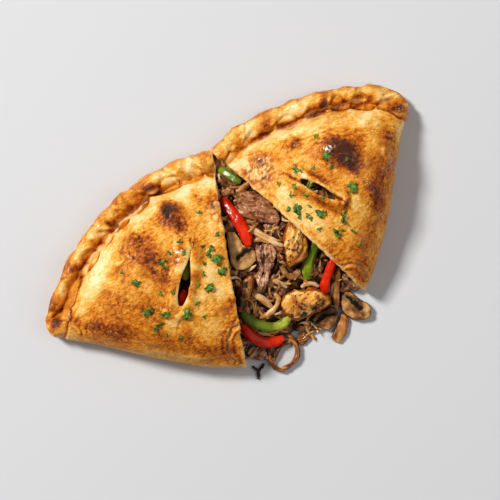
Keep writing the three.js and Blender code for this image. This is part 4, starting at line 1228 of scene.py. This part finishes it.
SPRIGS = {  # x, y and size in mm of each bit of parsley; a fourth number turns a slim one
    "left": [
        (-17, 42, 3.2), (-12, 23, 3.2), (-38, 31, 3.2, 0.6), (-38, 23, 3.2), (-47, 26, 3.2),
        (-55, 22, 5.8, -0.3), (-82, 31, 3.2), (-76, 19, 5.5), (-25, 20, 3.2), (-23, 15, 5.5),
        (-21, 8, 5.5), (-30, 10, 3.2), (-22, 0, 5.5), (-34, 3, 3.2, 1.4), (-40, -1, 3.2), (-34, -7, 5.5),
        (-65, 6, 3.2), (-58, 3, 3.2), (-46, -12, 3.2), (-78, -2, 5.5), (-69, -8, 5.8, -0.5),
        (-56, -16, 5.5), (-47, -23, 3.2), (-78, -13, 5.8, 0.9), (-76, -21, 3.2), (-67, -28, 3.2),
    ],
    "right": [
        (78, 50, 3.2), (78, 34, 5.5), (89, 27, 3.2), (77, 27, 3.2), (56, 36, 5.8, 0.9), (67, 32, 3.2),
        (83, 8, 5.5), (41, 33, 3.2), (49, 27, 3.2), (44, 23, 3.2, 0.9), (53, 18, 3.2), (62, 11, 3.2),
        (52, 10, 3.2), (39, 15, 3.2), (44, 14, 5.5), (48, 6, 3.2), (49, 2, 3.2), (42, 7, 3.2),
        (57, 2, 5.5), (68, -8, 5.8, 0.5), (50, -6, 3.2), (60, -15, 5.8, -1.0), (70, -19, 3.2),
        (70, -29, 3.2, 1.3),
    ],
}
VENT_SPRIG = ((62.5, 27, 0.75), (60.0, 24.5, 2.3))  # x, y in mm and turn of two slim leaves in the right vent
VENT_SPRIG_HEIGHT = 43.0  # mm above the table
broad_leaves = [make_leaf(seed, 0.72) for seed in (1, 2, 3, 4, 5)]
slim_leaves = [make_leaf(seed, 0.34) for seed in (6, 7, 8)]


def lay_parsley(half, luck):
    """Bits of two or three torn leaves each, laid on a crust."""
    bits = []
    for x, y, size, *turned in SPRIGS[half]:
        large = size > 4
        for k in range(3 if large else 2):
            spread = size * 0.28 if k else 0
            px, py = x + luck.uniform(-spread, spread), y + luck.uniform(-spread, spread)
            where, normal = hit(crust_skin[half], px, py)
            if where is None:
                continue
            model = luck.choice(slim_leaves if turned else broad_leaves)
            spin = turned[0] + luck.uniform(-0.25, 0.25) if turned else luck.uniform(0, ANY_TURN)
            wide = size * (0.8 if turned else 0.72 if large else 0.62) * luck.uniform(0.75, 1.1)
            lean = Vector((luck.uniform(-0.25, 0.25), luck.uniform(-0.25, 0.25), 0.2))
            normal = (normal + lean).normalized()
            lift = normal * (0.25 + 0.25 * k) * MM
            bits.append(a_copy(model, where + lift, normal, spin, (wide * 1.22, wide * 0.8, wide)))
    return bits


def lay_vent_sprig():
    """Two slim leaves that lie in the right vent."""
    up, size = Vector((0.1, 0, 1)), (7.5, 4.6, 4.6)
    return [
        a_copy(slim_leaves[0], Vector((x, y, VENT_SPRIG_HEIGHT)) * MM, up, spin, size)
        for x, y, spin in VENT_SPRIG
    ]


luck = random.Random(11)
join_copies("parsley_left", lay_parsley("left", luck), PARSLEY, "green_pepper")
join_copies("parsley_right", lay_parsley("right", luck) + lay_vent_sprig(), PARSLEY, "green_pepper")
bits = []
for node, x, y in (("mushroom_3_slice", 50, -62), ("chicken_2_piece", 18, -41)):
    where, normal = hit(skin_tree(bpy.data.objects[node]), x, y)
    bits.append(a_copy(broad_leaves[1], where + normal * 0.3 * MM, normal, 0.9, (1.9, 1.1, 1.5)))
join_copies("parsley_on_filling", bits, PARSLEY, "green_pepper")
put_away(broad_leaves + slim_leaves)

HEAP_X, HEAP_Y = (-36, 66), (-80, 72)  # mm, where the heap lies open
FRONT_X, FRONT_LOW = (-42, 72), 2.5  # mm, how wide the front of the heap is, and how low its bits lie
COVER_DEPTH = 1.2  # mm, how far under the heap a piece still counts as over it


def free_spot(x, y):
    """The heap's surface at x, y, unless a named piece lies over it or just under it."""
    where, normal = hit(core_skin, x, y)
    if where is None or where.z < 1.5 * MM:
        return None
    for tree in (*laid, *crust_skin.values()):
        cover, _ = hit(tree, x, y)
        if cover is not None and cover.z > where.z - COVER_DEPTH * MM:
            return None
    return where, normal


def front_spots(seed):
    """Places on the heap that only show from the front, under the cut edges and low on its sides."""
    places, normals = spots(core), facing(core)
    above = (*laid, *crust_skin.values())
    outwards = [Vector((x, -0.8, 0.35)) for x in (-0.4, 0, 0.4)]
    order = list(range(0, len(places), 7))
    random.Random(seed).shuffle(order)
    for k in order:
        where, normal = Vector(places[k]) * MM, Vector(normals[k])
        if not FRONT_X[0] < places[k][0] < FRONT_X[1] or places[k][2] < FRONT_LOW or normal.y > 0.3:
            continue
        out = where + normal * MM
        if not any(tree.ray_cast(out, Vector((0, 0, 1)))[0] for tree in above):
            continue
        if not all(any(tree.ray_cast(out, line)[0] for tree in (core_skin, *above)) for line in outwards):
            yield where, normal


def strew(name, models, count, seed, size, finish, slot, sink=0.3, tilt=0.5, front=0):
    """Scatters a kind of bit over the heap's free surface, and some over its front."""
    luck = random.Random(seed)
    bits = []

    def lay(where, normal, shrink):
        wide = luck.uniform(*size) * shrink
        model, spin, lean = luck.choice(models), luck.uniform(0, ANY_TURN), luck.uniform(-tilt, tilt)
        bits.append(a_copy(model, where - normal * wide * sink * MM, normal, spin, (wide, wide, wide), lean))

    tries = 0
    while len(bits) < count and tries < count * 60:
        tries += 1
        spot = free_spot(luck.uniform(*HEAP_X), luck.uniform(*HEAP_Y))
        if spot:
            lay(*spot, 1.0)
    for spot in itertools.islice(front_spots(seed), front):
        lay(*spot, 0.85)
    join_copies(name, bits, finish, slot)


def make_slab(seed):
    """A torn sliver of grained meat, 2 mm across and 4 mm long."""
    slab = make_crumb(seed, (2.1, 1.0, 0.42))
    p = spots(slab)
    ridges = fibres(p * 3, 8, seed, 1.3, 6)
    p += facing(slab) * (0.12 * ridges)[:, None]
    p[:, 2] += 0.10 * p[:, 0] ** 2 * (1 if seed % 2 else -1)
    move_spots(slab, p)
    # Lighter on the raised fibres: a painted highlight.
    paint(slab, "grain", 0.50 + 0.35 * ridges + 0.12 * (seed % 3))
    paint(slab, "sear", np.full(len(p), 0.25 + 0.3 * (seed % 2)))
    paint(slab, "char", 0.35 * (seed % 3 == 0) + 0.3 * ramp(ridges, 0.3, 0.9))
    return slab


def painted_shred(name, middle, rim, seed, length, bend, thick):
    """A shred with its paint on, which runs from its middle to its rim."""
    shred = make_shred(seed, length, bend, thick)
    edge = ramp(np.abs(facing(shred)[:, 1]), 0.3, 0.95)
    paint(shred, name, middle + (rim - middle) * edge + 0.2 * unevenness(spots(shred), 2.5, seed, 2))
    return shred


slabs = [make_slab(seed) for seed in (1, 2, 3, 4, 5, 6)]
onions = [
    painted_shred("amber", 0.1 + 0.14 * k, 0.5 + 0.1 * k, k, 5.5 + 1.3 * (k % 3), bend, thick=0.42)
    for k, bend in enumerate((0.5, -0.35, 0.2, -0.6))
]
caps = [
    painted_shred("rim", 0.15 + 0.2 * k, 0.9, 5 + k, 3.2, bend, thick=0.55)
    for k, bend in enumerate((0.7, -0.8, 0.9))
]
crumbs = [make_crumb(seed, (1.25, 0.85, 0.7)) for seed in (1, 5, 9)]
DARK_BITS = make_plain_finish(
    "browned_bits", light=(0.16, 0.065, 0.022), dark=(0.022, 0.010, 0.006),
    roughness=0.35, coat=0.4, patch=300.0, bump=0.3,
)
strew("meat_slivers", slabs, 62, 3, (1.9, 3.0), BEEF, "beef", sink=0.05, tilt=0.35, front=60)
strew("mushroom_slivers", caps, 40, 4, (2.2, 3.4), MUSHROOM, "mushroom", sink=0.05, tilt=0.4, front=36)
strew("browned_crumbs", crumbs, 70, 5, (0.7, 1.5), DARK_BITS, "filling")
strew("onion_shreds", onions, 46, 6, (2.0, 3.2), ONION, "onion", sink=-0.1, tilt=0.3, front=30)
put_away(slabs + onions + caps + crumbs)

# ---------------------------------------------------------------- floor, light and camera

bpy.ops.mesh.primitive_plane_add(size=6)
floor = bpy.context.active_object
floor.name = "floor"
floor_finish, tree, shader = new_finish("pale_floor", 0.85)
shader.inputs["Base Color"].default_value = (0.62, 0.62, 0.63, 1)
floor.data.materials.append(floor_finish)


def add_light(name, towards, distance, size, power, colour):
    """A soft square light that looks at the middle of the part."""
    lamp = bpy.data.lights.new(name, "AREA")
    lamp.size = size
    lamp.energy = power
    lamp.color = colour
    holder = bpy.data.objects.new(name, lamp)
    bpy.context.scene.collection.objects.link(holder)
    direction = Vector(towards).normalized()
    holder.location = direction * distance
    holder.rotation_euler = direction.to_track_quat("Z", "Y").to_euler()


add_light("window", towards=(-0.42, 0.80, 0.95), distance=3.0, size=0.6, power=82, colour=(1.0, 0.99, 0.97))
add_light("fill_card", towards=(0.9, -0.6, 1.2), distance=2.4, size=2.0, power=13, colour=(1.0, 0.99, 0.98))
world = bpy.data.worlds.new("room")
world.use_nodes = True
world.node_tree.nodes["Background"].inputs["Color"].default_value = (0.95, 0.97, 1.0, 1)
world.node_tree.nodes["Background"].inputs["Strength"].default_value = 0.21
bpy.context.scene.world = world

camera = bpy.data.objects.new("camera", bpy.data.cameras.new("camera"))
bpy.context.scene.collection.objects.link(camera)
camera.data.lens = 112.1
camera.location = (0.002, 0.003, 1.1)
camera.rotation_euler = (0, 0, math.radians(-28))
bpy.context.scene.camera = camera
bpy.context.scene.view_settings.view_transform = "Standard"
bpy.context.scene.view_settings.look = "Medium High Contrast"
